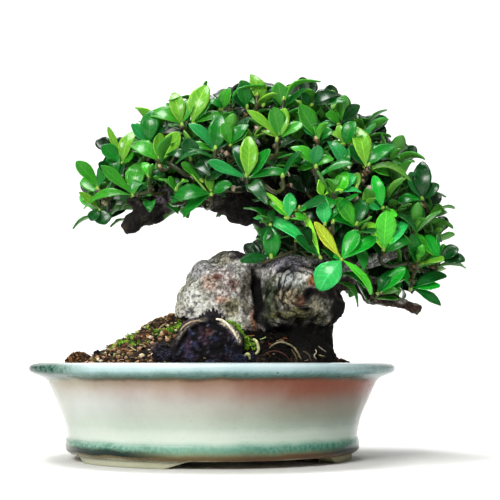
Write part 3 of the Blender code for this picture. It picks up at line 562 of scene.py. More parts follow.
# Charred splinters along the top of the sawn root, as place in the front view, height and lean
SPLINTERS = [
    (197, 321, 0.0030, -0.5), (201, 319, 0.0034, -0.3), (204, 318, 0.0040, -0.4), (207, 316, 0.0040, -0.1),
    (210, 315, 0.0044, -0.2), (213, 314, 0.0052, 0.05), (216, 315, 0.0044, 0.15), (219, 317, 0.0034, 0.4),
    (223, 320, 0.0030, 0.5),
]
SPLINTER_DEPTH = -0.0475
CORE_VOXEL = 0.0011
BARK_VOXEL = 0.0008
# Blender's vector noise starts from the clock unless it is seeded
BARK_SEED = 11
# The front view: where the pot's axis and lip show in a picture 500 wide, and a pixel's size on their plane
AXIS_PX = 213
LIP_PY = 363
LIP_HEIGHT = 0.0400
PIXEL = 0.0004306
# Marks on the burl in the front view: its smooth part, the middle of its rings, the hole right of that,
# the knobs under it, the groove between hump and burl, and a pixel's size in millimetres there
SMOOTH_PART = (293, 297, 24, 22)
RINGS_AT = (305, 293)
HOLE_AT = (311, 294)
KNOBS_AT = [(315, 306, 4.5), (326, 320, 5.0), (303, 300, 3.5), (296, 309, 3.5), (322, 309, 3.0)]
GROOVE_AT = (258, 300)
BURL_PIXEL = 0.42
RING_PITCH = 0.0037
# Patches of bark colour in the front view, as middle, half width, half height, colour and strength; the
# near-black ones are painted shade
GREY_BARK = (220, 220, 217)
# The wood in the crown is nearly black, partly darker bark and partly painted shade under the leaves
CROWN_WOOD_AND_SHADE = (21, 18, 17)
BARK_PATCHES = [
    (208, 262, 34, 16, (186, 184, 188), 0.7),
    (200, 270, 12, 12, (214, 212, 222), 0.6),
    (219, 258, 12, 7, (176, 172, 140), 0.5),
    (219, 284, 17, 17, (228, 208, 204), 0.7),
    (209, 282, 8, 9, (214, 180, 160), 0.6),
    (216, 276, 6, 4, (92, 52, 44), 0.85),
    (234, 283, 5, 8, (112, 62, 56), 0.6),
    (196, 299, 13, 15, (250, 251, 244), 0.9),
    (222, 300, 9, 4, (168, 112, 88), 0.6),
    (232, 308, 11, 11, (182, 176, 140), 0.75),
    (231, 306, 6, 6, (66, 60, 38), 0.6),
    (238, 322, 14, 7, (240, 241, 224), 0.7),
    (247, 296, 6, 30, (104, 96, 82), 0.7),
    (254, 318, 3, 16, (168, 98, 66), 0.7),
    (240, 256, 9, 7, (60, 52, 52), 0.8),
    (176, 309, 8, 10, (232, 230, 208), 0.7),
    (285, 262, 24, 10, (176, 172, 194), 0.75),
    (271, 270, 8, 9, (206, 202, 208), 0.7),
    (269, 300, 9, 22, (72, 88, 62), 0.85),
    (292, 284, 11, 9, (228, 234, 234), 0.75),
    (300, 302, 38, 22, (96, 94, 72), 0.65),
    (290, 278, 10, 8, (222, 228, 230), 0.6),
    (290, 298, 12, 12, (196, 178, 146), 0.75),
    (300, 302, 6, 8, (128, 66, 50), 0.6),
    (313, 282, 5, 6, (176, 96, 48), 0.85),
    (317, 276, 5, 4, (132, 54, 44), 0.7),
    (296, 315, 24, 8, (112, 110, 66), 0.75),
    # Painted shade in the hollow right of the burl's rings
    (313, 292, 7, 5, (14, 10, 8), 0.95),
    (307, 297, 5, 7, (20, 14, 10), 0.85),
    (331, 292, 13, 8, (26, 20, 17), 0.9),
    (322, 268, 12, 7, (44, 38, 36), 0.8),
    (315, 306, 5, 5, (196, 188, 160), 0.85),
    (326, 320, 6, 5, (172, 164, 132), 0.8),
    # Painted shade under the burl, down the trunk's right foot and in the groove between hump and burl
    (298, 350, 60, 30, (7, 6, 5), 0.98),
    (282, 330, 22, 7, (7, 6, 5), 0.95),
    (338, 326, 13, 40, (8, 6, 5), 0.97),
    (257, 298, 4, 34, (9, 7, 6), 0.97),
    (161, 194, 12, 16, (122, 112, 124), 0.8),
    (345, 286, 12, 12, (58, 46, 40), 0.85),
    (378, 296, 34, 13, (60, 44, 36), 0.95),
    (408, 311, 15, 10, (72, 50, 40), 0.95),
    (417, 316, 5, 4, (84, 116, 84), 0.8),
]


def tube(name, stations, resolution, smooth):
    """A rod through the stations, with its own radius at each, as a closed mesh."""
    curve = bpy.data.curves.new(name, "CURVE")
    curve.dimensions = "3D"
    curve.bevel_depth = 1.0
    curve.bevel_resolution = resolution
    curve.use_fill_caps = True
    if smooth:
        spline = curve.splines.new("BEZIER")
        spline.bezier_points.add(len(stations) - 1)
        spline.resolution_u = 6
        for point, (x, y, z, radius) in zip(spline.bezier_points, stations):
            point.co = (x, y, z)
            point.radius = radius
            point.handle_left_type = point.handle_right_type = "AUTO"
    else:
        spline = curve.splines.new("POLY")
        spline.points.add(len(stations) - 1)
        for point, (x, y, z, radius) in zip(spline.points, stations):
            point.co = (x, y, z, 1)
            point.radius = radius
    line = bpy.data.objects.new(name + "_line", curve)
    bpy.context.scene.collection.objects.link(line)
    bpy.context.view_layer.update()
    mesh = bpy.data.meshes.new_from_object(line.evaluated_get(bpy.context.evaluated_depsgraph_get()))
    bm = bmesh.new()
    bm.from_mesh(mesh)
    bmesh.ops.remove_doubles(bm, verts=bm.verts, dist=1e-6)
    bpy.data.objects.remove(line)
    bpy.data.meshes.remove(mesh)
    return bm


def ball(station):
    """A round knob."""
    bm = bmesh.new()
    bmesh.ops.create_icosphere(bm, subdivisions=4, radius=station[3])
    bmesh.ops.translate(bm, verts=bm.verts, vec=station[:3])
    return bm


def fused(name, bodies, voxel, rounds):
    """One skin over rods and balls that run into each other, with its creases softened."""
    whole = bmesh.new()
    for body in bodies:
        mesh = bpy.data.meshes.new("body")
        body.to_mesh(mesh)
        body.free()
        whole.from_mesh(mesh)
        bpy.data.meshes.remove(mesh)
    skin = loose_object(name, whole)
    remesh = skin.modifiers.new("one_skin", "REMESH")
    remesh.mode = "VOXEL"
    remesh.voxel_size = voxel
    soften = skin.modifiers.new("soften", "SMOOTH")
    soften.factor = 0.5
    soften.iterations = rounds
    bpy.context.view_layer.update()
    bake(skin)
    bm = bmesh.new()
    bm.from_mesh(skin.data)
    bpy.data.objects.remove(skin)
    return bm


def ease(value, low, high):
    """A smooth step from 0 at low to 1 at high."""
    share = min(1.0, max(0.0, (value - low) / (high - low)))
    return share * share * (3 - 2 * share)


def front_place(point):
    """Where a point shows in the front view."""
    share = -EYE.y / (point.y - EYE.y)
    x = EYE.x + (point.x - EYE.x) * share
    z = EYE.z + (point.z - EYE.z) * share
    return AXIS_PX + x / PIXEL, LIP_PY - (z - LIP_HEIGHT) / PIXEL


def seen(x, z, depth):
    """The point at this depth that, from the front, covers x, z on the plane of the pot's axis."""
    return EYE + (Vector((x, 0, z)) - EYE) * (1 - depth / EYE.y)


def seen_place(px, py, depth):
    """The point at this depth that shows at px, py in the front view."""
    return seen((px - AXIS_PX) * PIXEL, LIP_HEIGHT + (LIP_PY - py) * PIXEL, depth)


def put(whole, body, paint_name, colour):
    """Paints a small body in one colour and adds it to the whole."""
    paint = body.verts.layers.float_color.new(paint_name)
    for vert in body.verts:
        vert[paint] = colour
    mesh = bpy.data.meshes.new("body")
    body.to_mesh(mesh)
    body.free()
    whole.from_mesh(mesh)
    bpy.data.meshes.remove(mesh)


def bark_relief(point):
    """Lumps of old wood low down, and rolled rings left of and under the scar on the burl."""
    low = min(1.0, max(0.0, (LUMPS_END - point.z) / LUMPS_FADE))
    lumps = noise.noise(point / LUMP_SIZE) + 0.5 * noise.noise(point / LUMP_SIZE * 2.1)
    out = point - BURL_EYE
    away = out.length + BURL_RING_SWAY * noise.noise(point / LUMP_SIZE)
    fade = min(1.0, max(0.0, BURL_RING_REACH - away) / BURL_RING_PITCH)
    side = min(1.0, max(0.0, 0.3 + 1.4 * out.normalized().dot(BURL_RING_SIDE)))
    rings = math.cos(2 * math.pi * away / BURL_RING_PITCH)
    return LUMP_RELIEF * low * lumps + BURL_RING_RELIEF * fade * side * rings


def on_sawn_face(point, normal):
    """How far out on the sawn root's face a point lies, as a share of its radius, or nothing elsewhere."""
    if point.y > SAWN_BACK or normal.y > -0.25:
        return None
    return math.hypot(point.x - SAWN_X, point.z - SAWN_Z) / SAWN_RADIUS


def mark(px, py, x, y, wide, high):
    """How strongly a round mark in the front view shows at px, py: 1 at its middle, and less all round."""
    return math.exp(-(((px - x) / wide) ** 2 + ((py - y) / high) ** 2))


def fine_relief(point, normal):
    """Pits, wrinkles and rolled edges too small for the solid, as height and a share of shade."""
    px, py = front_place(point)
    front = ease(-normal.y, -0.1, 0.35)
    grain = noise.noise(point / 0.0030) * 0.00034 + noise.noise(point / 0.0014) * 0.00026
    low = 1 - ease(point.z, 0.084, 0.096)
    long_way = Vector((point.x / 0.0032, point.y / 0.0032, point.z / 0.0090))
    wrinkle = 1 - abs(noise.noise(long_way + 1.5 * Vector((noise.noise(point / 0.006), 0, 0))))
    swayed = point / 0.0036 + 0.8 * noise.noise_vector(point / 0.0050)
    near, _ = noise.voronoi(swayed, distance_metric="DISTANCE")
    pit = (1 - ease(near[0], 0.10, 0.30)) * ease(noise.noise(point / 0.0100), -0.25, 0.15)
    crease = (1 - ease(near[1] - near[0], 0.02, 0.16)) * low
    calm = 1 - 0.7 * front * mark(px, py, *SMOOTH_PART)
    height = calm * (grain - 0.00035 * ease(wrinkle, 0.82, 1.0) - 0.00060 * pit - 0.00030 * crease)
    shade = calm * (0.35 * ease(wrinkle, 0.84, 1.0) + 0.70 * pit + 0.30 * crease - 500 * grain)
    knobbly = noise.noise(point / 0.0042 + Vector((6, 6, 6)))
    height += (1 - low) * 0.0011 * knobbly
    shade += (1 - low) * (0.7 * ease(-knobbly, 0.05, 0.35) - 0.9 * ease(knobbly, 0.15, 0.40))
    ring_x, ring_y = RINGS_AT
    turn = math.atan2(py - ring_y, px - ring_x)
    away = math.hypot((px - ring_x) * 0.95, py - ring_y) * BURL_PIXEL / 1000
    open_side = ease(math.cos(turn - math.radians(155)), -0.15, 0.35)
    on_burl = front * open_side * (1 - ease(away, 0.0150, 0.0185)) * ease(away, 0.0020, 0.0035)
    sway = 0.0034 * noise.noise(point / 0.0070) + 0.0009 * noise.noise(point / 0.0022)
    wave = math.cos(2 * math.pi * (away + sway) / RING_PITCH)
    on_burl *= 0.25 + 0.75 * ease(noise.noise(point / 0.0045 + Vector((4, 4, 4))), -0.30, 0.25)
    height += on_burl * 0.00095 * wave
    shade += on_burl * 1.25 * ease(-wave, 0.1, 0.9) - on_burl * 0.30 * ease(wave, 0.3, 1.0)
    hole_x, hole_y = HOLE_AT
    from_hole = px - hole_x - 0.5 * (hole_y + 1 - py)
    hollow = front * math.exp(-((from_hole / 5.5) ** 2 + ((py - hole_y) / 6) ** 2))
    knobs = front * sum(mark(px, py, x, y, wide, wide) for x, y, wide in KNOBS_AT)
    groove_x, groove_y = GROOVE_AT
    from_groove = px - groove_x - (py - groove_y) * 0.11
    groove = front * math.exp(-((from_groove / 3.6) ** 2)) * ease(py, 262, 272) * ease(-py, -330, -318)
    height += 0.0010 * knobs - 0.0024 * hollow - 0.0022 * groove
    shade += 1.2 * groove + 1.0 * hollow - 0.25 * knobs
    out = on_sawn_face(point, normal)
    if out is not None:
        cinder = noise.noise(point / 0.0019) + 0.6 * noise.noise(point / 0.0011)
        heart = 1 - ease(out, 0.80, 0.90)
        ring = math.exp(-(((out - 0.91) / 0.05) ** 2))
        height = heart * (0.0017 * cinder - 0.0014) + 0.0006 * ring + (1 - heart) * 0.0009 * cinder
        shade = heart * max(0.0, -0.5 * cinder)
    return height, shade


def sawn_colour(point, out):
    """The charred blue-black heart of the sawn root, its pale ring of callus and its dark bark."""
    dark = Vector((10, 9, 14))
    blue = ease(noise.noise(point / 0.0034 + Vector((1, 2, 3))), 0.05, 0.45)
    plum = ease(noise.noise(point / 0.0042 + Vector((7, 1, 5))), 0.10, 0.45)
    heart = dark.lerp(Vector((56, 60, 104)), 0.80 * blue).lerp(Vector((100, 70, 92)), 0.5 * plum)
    heart = heart.lerp(Vector((150, 156, 184)), 0.5 * ease(noise.noise(point / 0.0010), 0.26, 0.46))
    from_red = math.hypot(point.x + 0.0002, point.z - 0.0522) + 0.0008 * noise.noise(point / 0.001)
    heart = heart.lerp(Vector((116, 76, 70)), 0.8 * (1 - ease(from_red, 0.0010, 0.0022)))
    angle = math.degrees(math.atan2(point.z - SAWN_Z, point.x - SAWN_X))
    pale = ease(angle, 12, 24) * (1 - ease(angle, 62, 76))
    pale += 0.55 * ease(angle, 84, 100) * (1 - ease(angle, 150, 168))
    ring = math.exp(-(((out - 0.91) / 0.040) ** 2)) * pale
    rim = Vector((26, 22, 24)).lerp(heart, 1 - ease(out, 0.84, 0.92))
    return rim.lerp(Vector((226, 214, 190)), min(1.0, 1.1 * ring))


def wood_tone(colour):
    """A colour of wood, kept between nearly black and white."""
    return tone(*[min(255.0, max(3.0, c)) for c in colour])


def bark_colour(point, normal, shade):
    """Weathered bark, darker in the crown partly as painted shade under the leaves, with lichen, earth low
    down, painted shade under the burl and the patches that the front shows.
    """
    out = on_sawn_face(point, normal)
    if out is not None:
        return wood_tone(sawn_colour(point, out) * (1 - 0.7 * min(1.0, shade)))
    px, py = front_place(point)
    front = ease(-normal.y, -0.15, 0.25)
    crown = ease(point.z, 0.082, 0.096)
    base = Vector(GREY_BARK).lerp(Vector(CROWN_WOOD_AND_SHADE), crown)
    cloud = noise.noise(point / 0.0085 + Vector((3, 1, 7)))
    base = base.lerp(Vector((238, 235, 226)), 0.55 * ease(cloud, 0.05, 0.45) * (1 - 0.55 * crown))
    lichen = noise.noise(point / 0.011 + Vector((9, 4, 2)))
    base = base.lerp(Vector((108, 112, 80)), 0.45 * ease(lichen, 0.1, 0.5))
    brown = noise.noise(point / 0.0070 + Vector((2, 8, 6)))
    base = base.lerp(Vector((104, 82, 70)), 0.40 * ease(brown, 0.15, 0.5))
    for x, y, wide, high, colour, strength in BARK_PATCHES:
        fray = 0.65 * noise.noise(point / 0.0036 + Vector((x, y, 0)))
        edge = math.hypot((px - x) / wide, (py - y) / high) + fray
        base = base.lerp(Vector(colour), strength * front * (1 - ease(edge, 0.55, 1.15)))
    speck = ease(noise.noise(point / 0.0016 + Vector((5, 5, 5))), 0.20, 0.45)
    base = base * (1 - 0.26 * speck)
    # Low down the wood is stained with damp earth, and at the front right, under the burl, it is painted near
    # black as shade
    damp = 1 - ease(point.z, 0.050, 0.060)
    hump = front * (1 - ease(abs(point.x - 0.003), 0.016, 0.020))
    shaded = ease(point.x, 0.012, 0.022) * front
    earth = Vector((46, 36, 28)).lerp(Vector((4, 4, 3)), shaded)
    base = base.lerp(earth, (0.75 + 0.22 * shaded) * damp * (1 - 0.8 * hump))
    charred = ease(-point.y, 0.022, 0.034) * (1 - ease(point.z, 0.056, 0.062))
    base = base.lerp(Vector((34, 28, 30)), 0.8 * charred)
    return wood_tone(base * (1 - 0.80 * min(1.0, max(0.0, shade))))


def bark():
    finish, tree, shader = new_finish("weathered_bark", 0.82)
    place = add_node(tree, "ShaderNodeTexCoord", {}).outputs["Object"]
    painted = add_node(tree, "ShaderNodeAttribute", {}, attribute_name="wood_colour").outputs["Color"]

    # Pits, and seams between small plates of bark, in lines that sway a little
    sway = add_node(
        tree, "ShaderNodeTexNoise", {"Vector": place, "Scale": 420.0, "Detail": 3.0}
    ).outputs["Color"]
    bent = add_node(
        tree, "ShaderNodeVectorMath",
        {0: sway, 1: (0.0026, 0.0026, 0.0026), 2: place}, operation="MULTIPLY_ADD",
    ).outputs["Vector"]
    cells = add_node(tree, "ShaderNodeTexVoronoi", {"Vector": bent, "Scale": 560.0}).outputs["Distance"]
    pits = spread(tree, cells, 0.10, 0.22, 1.0, 0.0)
    plates = add_node(
        tree, "ShaderNodeTexVoronoi", {"Vector": bent, "Scale": 330.0}, feature="DISTANCE_TO_EDGE"
    ).outputs["Distance"]
    seams = spread(tree, plates, 0.02, 0.12, 1.0, 0.0)
    fleck = spread(tree, mottle(tree, place, 900.0, 6.0), 0.39, 0.61)
    flecks = mixed(tree, fleck, tone(100, 96, 96), tone(236, 235, 232))
    colour = mixed(tree, 0.72, painted, flecks, "OVERLAY")
    colour = mixed(tree, product(tree, seams, 0.14), colour, tone(40, 34, 30))

    # Painted shade in the creases between the rolled rings on the front of the burl
    eye = (POT_AXIS.x + 0.0372, 0.0, 0.0705)
    flat = add_node(
        tree, "ShaderNodeVectorMath", {0: place, 1: (1.0, 0.0, 1.0)}, operation="MULTIPLY"
    ).outputs["Vector"]
    away = add_node(tree, "ShaderNodeVectorMath", {0: flat, 1: eye}, operation="DISTANCE").outputs["Value"]
    rolled = figure(tree, "ADD", away, product(tree, mottle(tree, place, 150.0, 3.0), 0.0075))
    crease = spread(tree, figure(tree, "SINE", product(tree, rolled, 2 * math.pi / 0.0033)), 0.35, 0.9)
    apart = add_node(tree, "ShaderNodeSeparateXYZ", {"Vector": place})
    side = product(
        tree,
        spread(tree, away, 0.0040, 0.0060),
        spread(tree, away, 0.0140, 0.0115),
        spread(tree, apart.outputs["X"], POT_AXIS.x + 0.0480, POT_AXIS.x + 0.0400),
        spread(tree, apart.outputs["Y"], -0.004, -0.012),
    )
    colour = mixed(tree, product(tree, crease, side, 0.85), colour, tone(22, 22, 15))
    colour = mixed(tree, product(tree, pits, 0.62), colour, tone(26, 22, 20))
    tree.links.new(colour, shader.inputs["Base Color"])
    shader.inputs["Specular IOR Level"].default_value = 0.18
    sunk = figure(tree, "ADD", product(tree, pits, 0.5), product(tree, seams, 0.35))
    height = figure(tree, "SUBTRACT", mottle(tree, place, 650.0, 8.0), sunk)
    dent = add_node(tree, "ShaderNodeBump", {"Strength": 1.0, "Distance": 0.0009, "Height": height})
    tree.links.new(dent.outputs["Normal"], shader.inputs["Normal"])
    return finish


def add_trunk():
    noise.seed_set(BARK_SEED)
    heavy = [tube("rod", stations, 6, True) for stations in (ROOT_HUMP, TRUNK_FOOT, SADDLE, MAIN_LIMB[:3])]
    core = fused("core", heavy + [ball(knob) for knob in HEAVY_KNOBS], CORE_VOXEL, 14)
    rods = [SAWN_ROOT, MAIN_LIMB, CROWN_LEADER, RIGHT_LIMB, LOW_LIMB, *BRANCHES, *ROOTS]
    bodies = [core] + [tube("rod", stations, 6, True) for stations in rods]
    bodies += [ball(knob) for knob in LIGHT_KNOBS]
    bm = fused("wood", bodies, BARK_VOXEL, 4)
    bm.normal_update()
    paint = bm.verts.layers.float_color.new("wood_colour")
    for vert in bm.verts:
        normal = vert.normal.copy()
        height, shade = fine_relief(vert.co, normal)
        colour = bark_colour(vert.co, normal, shade)
        vert.co += normal * (bark_relief(vert.co) + height)
        vert[paint] = colour
    bmesh.ops.smooth_vert(bm, verts=bm.verts, factor=0.15, use_axis_x=True, use_axis_y=True, use_axis_z=True)
    for px, py, tall, lean in SPLINTERS:
        body = bmesh.new()
        bmesh.ops.create_cone(body, cap_ends=True, segments=5, radius1=0.0019, radius2=0.0003, depth=tall)
        bmesh.ops.rotate(body, verts=body.verts, matrix=Matrix.Rotation(lean, 3, "Y"))
        bmesh.ops.translate(body, verts=body.verts, vec=seen_place(px, py, SPLINTER_DEPTH))
        put(bm, body, "wood_colour", tone(24, 20, 26))
    add_piece("bonsai_trunk", bm, bark(), ["trunk"])


add_trunk()


# Soil, crumbs, moss and fine roots
# Dark crumbly bonsai soil fills the pot and is heaped round the roots. Crumbs of baked clay and bits of bark
# lie on it, with cushions of moss at the left, beside the sawn root and at the back, and a few bare rootlets.
SOIL_EDGE = 0.0372
SOIL_FLOOR = 0.0106
SOIL_RIM = 0.0677
SOIL_RINGS = 64
SOIL_PLAY = 0.0006
HEAP = 0.0250
HEAP_MIDDLE = -0.006
HEAP_LEFT = 0.064
HEAP_RIGHT = 0.080
HEAP_DEPTH = 0.066
SOIL_SEED = 11
CRUMBS = 3700
LITTER = 1500
CRUMBS_ON_CLUMP = 7.5e6
CLUMP_DEPTH = 0.85
MOSS_LEAN = 0.8
MOSS_TUFT = 0.0008
CRUMB_TONES = [
    (30, 23, 19), (18, 14, 12), (46, 33, 25), (74, 50, 34),
    (112, 80, 54), (168, 138, 104), (226, 208, 174),
]
CRUMB_SHARES = [34, 38, 14, 8, 4, 2, 1]
DRY_SHARES = [10, 12, 9, 14, 20, 20, 15]
LITTER_TONES = [(86, 54, 36), (136, 90, 56), (182, 140, 92), (44, 30, 22), (220, 190, 140), (120, 122, 60)]
# Moss cushions, as place from the pot's axis, reach and number of tufts
MOSS_BEDS = [
    (-0.0270, -0.0240, 0.0070, 44), (-0.0160, -0.0250, 0.0050, 30), (-0.0390, -0.0150, 0.0060, 26),
    (-0.0300, -0.0120, 0.0080, 22), (0.0125, -0.0335, 0.0052, 110), (-0.030, 0.020, 0.016, 90),
    (-0.010, 0.040, 0.010, 60), (0.014, 0.046, 0.012, 70), (0.052, 0.028, 0.010, 50),
]
# Lumps of soil on the surface, as place, radius, how tall they are for their width, and colour
CLUMPS = [
    (-0.0560, -0.0100, 0.0392, 0.0056, 0.95, (66, 46, 28)),
    (-0.0500, -0.0135, 0.0390, 0.0040, 0.80, (52, 38, 26)),
    (-0.0478, -0.0110, 0.0425, 0.0021, 1.30, (16, 12, 10)),
    (-0.0410, -0.0140, 0.0415, 0.0042, 0.85, (70, 46, 32)),
    (-0.0345, -0.0200, 0.0440, 0.0045, 0.90, (58, 40, 28)),
    (-0.0215, -0.0180, 0.0545, 0.0042, 0.90, (64, 52, 38)),
    (-0.0270, -0.0230, 0.0490, 0.0046, 0.85, (78, 58, 42)),
    (-0.0200, -0.0360, 0.0440, 0.0050, 0.80, (48, 42, 40)),
    (0.0545, -0.0180, 0.0378, 0.0036, 0.85, (16, 12, 10)),
    (0.0500, -0.0270, 0.0378, 0.0034, 0.80, (24, 18, 14)),
    (0.0190, -0.0460, 0.0390, 0.0040, 0.75, (26, 20, 16)),
    (0.0330, -0.0470, 0.0385, 0.0036, 0.75, (22, 17, 13)),
    (-0.0160, -0.0480, 0.0405, 0.0046, 0.95, (22, 21, 30)),
    (-0.0180, -0.0430, 0.0430, 0.0042, 0.90, (26, 24, 32)),
    (0.0115, -0.0500, 0.0400, 0.0036, 0.90, (22, 24, 38)),
    (0.0155, -0.0460, 0.0410, 0.0034, 0.90, (18, 18, 28)),
    (-0.0070, -0.0525, 0.0392, 0.0030, 0.80, (20, 20, 28)),
    (0.0020, -0.0530, 0.0390, 0.0034, 0.70, (26, 28, 40)),
]
# Bare rootlets on the soil, as points of the front view with their depths, radius and colour
ROOTLETS = [
    ([(269, 348, -0.041), (274, 344, -0.042), (281, 342, -0.043),
      (288, 344, -0.043), (294, 348, -0.042), (299, 357, -0.041)], 0.00034, (134, 124, 98)),
    ([(294, 347, -0.042), (297, 352, -0.043), (301, 359, -0.043)], 0.00042, (128, 118, 90)),
    ([(291, 349, -0.043), (295, 355, -0.044), (297, 361, -0.044)], 0.00030, (96, 84, 60)),
    ([(303, 351, -0.043), (308, 354, -0.044), (311, 361, -0.044)], 0.00030, (84, 74, 54)),
    ([(262, 356, -0.046), (272, 351, -0.047), (284, 354, -0.047), (290, 361, -0.046)], 0.00026, (74, 48, 40)),
    ([(315, 349, -0.040), (316, 352, -0.041), (314, 355, -0.041),
      (316, 359, -0.041)], 0.00022, (190, 184, 162)),
    ([(318, 346, -0.038), (322, 349, -0.039), (326, 352, -0.039)], 0.00022, (140, 132, 116)),
    ([(253, 339, -0.046), (256, 341, -0.047), (258, 346, -0.047),
      (258, 351, -0.047), (254, 355, -0.046)], 0.00062, (184, 186, 134)),
    ([(244, 356, -0.048), (248, 354, -0.049), (250, 359, -0.049)], 0.00070, (170, 172, 118)),
    ([(118, 352, -0.036), (124, 349, -0.037), (131, 352, -0.038),
      (136, 358, -0.038)], 0.00028, (130, 100, 70)),
    ([(138, 344, -0.034), (146, 343, -0.036), (152, 348, -0.037),
      (155, 356, -0.038)], 0.00026, (118, 90, 62)),
    ([(158, 330, -0.030), (163, 325, -0.030), (168, 324, -0.029)], 0.00030, (160, 146, 106)),
    ([(216, 319, -0.0500), (221, 320, -0.0505), (227, 324, -0.0508),
      (233, 331, -0.0508), (238, 340, -0.0505)], 0.00052, (226, 216, 192)),
    ([(180, 331, -0.0500), (184, 326, -0.0505), (191, 322, -0.0508),
      (200, 320, -0.0505)], 0.00034, (178, 158, 128)),
]


def heap_height(x, y):
    """How far the soil stands above the edge of the heap."""
    reach = HEAP_LEFT if x < HEAP_MIDDLE else HEAP_RIGHT
    share = math.hypot((x - HEAP_MIDDLE) / reach, y / HEAP_DEPTH)
    return HEAP * (0.5 + 0.5 * math.cos(math.pi * min(share, 1.0)))


def soil_top(x, y):
    """How high the uneven surface lies."""
    grit = noise.noise(Vector((x, y, 0.3)) / 0.0090) * 0.0012
    grit += noise.noise(Vector((x, y, 0.7)) / 0.0030) * 0.0006
    return SOIL_EDGE + heap_height(x, y) + grit


def soil_finish():
    finish, tree, shader = new_finish("bonsai_soil", 0.92)
    place = add_node(tree, "ShaderNodeTexCoord", {}).outputs["Object"]
    painted = add_node(tree, "ShaderNodeAttribute", {}, attribute_name="soil_colour").outputs["Color"]
    grains = spread(tree, mottle(tree, place, 1300.0, 5.0), 0.35, 0.65, 0.55, 1.45)
    colour = add_node(
        tree, "ShaderNodeVectorMath", {0: painted, 3: grains}, operation="SCALE"
    ).outputs["Vector"]
    tree.links.new(colour, shader.inputs["Base Color"])
    shader.inputs["Specular IOR Level"].default_value = 0.15
    dent = add_node(
        tree, "ShaderNodeBump",
        {"Strength": 0.9, "Distance": 0.0006, "Height": mottle(tree, place, 1100.0, 6.0)},
    )
    tree.links.new(dent.outputs["Normal"], shader.inputs["Normal"])
    return finish


def crumb(rng, size):
    """An uneven grain of baked clay or earth."""
    bm = bmesh.new()
    bmesh.ops.create_icosphere(bm, subdivisions=1, radius=size)
    for vert in bm.verts:
        vert.co *= rng.uniform(0.72, 1.15)
    bmesh.ops.scale(bm, verts=bm.verts, vec=(1.0, rng.uniform(0.7, 1.0), rng.uniform(0.55, 0.9)))
    bmesh.ops.rotate(bm, verts=bm.verts, matrix=Matrix.Rotation(rng.uniform(0, 6.28), 3, "Z"))
    return bm


def moss_tuft(rng):
    """Short upright moss stems on one spot, so close that they make a cushion."""
    bm = bmesh.new()
    for _ in range(8):
        stem = bmesh.ops.create_cone(
            bm, cap_ends=True, segments=3, radius1=0.00022, radius2=0.00005, depth=rng.uniform(0.0009, 0.0021)
        )["verts"]
        sideways = Matrix.Rotation(rng.uniform(-MOSS_LEAN, MOSS_LEAN), 3, "X")
        lean = sideways @ Matrix.Rotation(rng.uniform(-MOSS_LEAN, MOSS_LEAN), 3, "Y")
        bmesh.ops.translate(bm, verts=stem, vec=(0, 0, 0.0005))
        bmesh.ops.rotate(bm, verts=stem, matrix=lean)
        aside = (rng.uniform(-MOSS_TUFT, MOSS_TUFT), rng.uniform(-MOSS_TUFT, MOSS_TUFT), 0)
        bmesh.ops.translate(bm, verts=stem, vec=aside)
    return bm


def clump(rng, radius, tall):
    """A lump of crumbs that cling together."""
    bm = bmesh.new()
    bmesh.ops.create_icosphere(bm, subdivisions=3, radius=radius)
    bmesh.ops.scale(bm, verts=bm.verts, vec=(1.0, CLUMP_DEPTH, tall))
    away = Vector((rng.uniform(0, 9), rng.uniform(0, 9), 0))
    for vert in bm.verts:
        out = vert.co.normalized()
        rough = noise.noise(out * 2.2 + away) * 0.28 + noise.noise(vert.co / 0.0011 + away) * 0.16
        vert.co *= 1 + rough
    return bm


def litter_bit(rng):
    """A bit of bark, needle or dry leaf."""
    bm = bmesh.new()
    bmesh.ops.create_cube(bm, size=1)
    long = rng.uniform(0.0012, 0.0040)
    wide = rng.uniform(0.0003, 0.0010) if rng.random() < 0.4 else rng.uniform(0.0002, 0.0004)
    bmesh.ops.scale(bm, verts=bm.verts, vec=(long, wide, rng.uniform(0.00015, 0.0003)))
    for vert in bm.verts:
        vert.co.z += 25 * vert.co.x**2 * rng.uniform(0.0, 1.0)
        vert.co.y *= rng.uniform(0.5, 1.1)
    tip = Matrix.Rotation(rng.uniform(0, 6.28), 3, "Z") @ Matrix.Rotation(rng.gauss(0, 0.30), 3, "Y")
    bmesh.ops.rotate(bm, verts=bm.verts, matrix=tip)
    return bm


def packed_wood():
    """The solid tree as a search tree, on the pot's axis."""
    bm = bmesh.new()
    bm.from_mesh(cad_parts["trunk"].data)
    bmesh.ops.translate(bm, verts=bm.verts, vec=-POT_AXIS)
    found = BVHTree.FromBMesh(bm)
    bm.free()
    return found


def dry_and_lit(x, y):
    """The soil left of the hump is dry, pale and lit, and the rest is dark, partly damp and partly painted
    shade.
    """
    return x < -0.014 and y < 0.02


def scattered(rng, margin):
    """A random place on the soil, at least the margin away from the pot."""
    angle = rng.uniform(0, 2 * math.pi)
    radius = (SOIL_RIM - margin) * math.sqrt(rng.random())
    return radius * math.cos(angle), radius * math.sin(angle)


def lit(colour, light):
    """A colour made lighter or darker."""
    return tone(*[min(255.0, c * light) for c in colour])


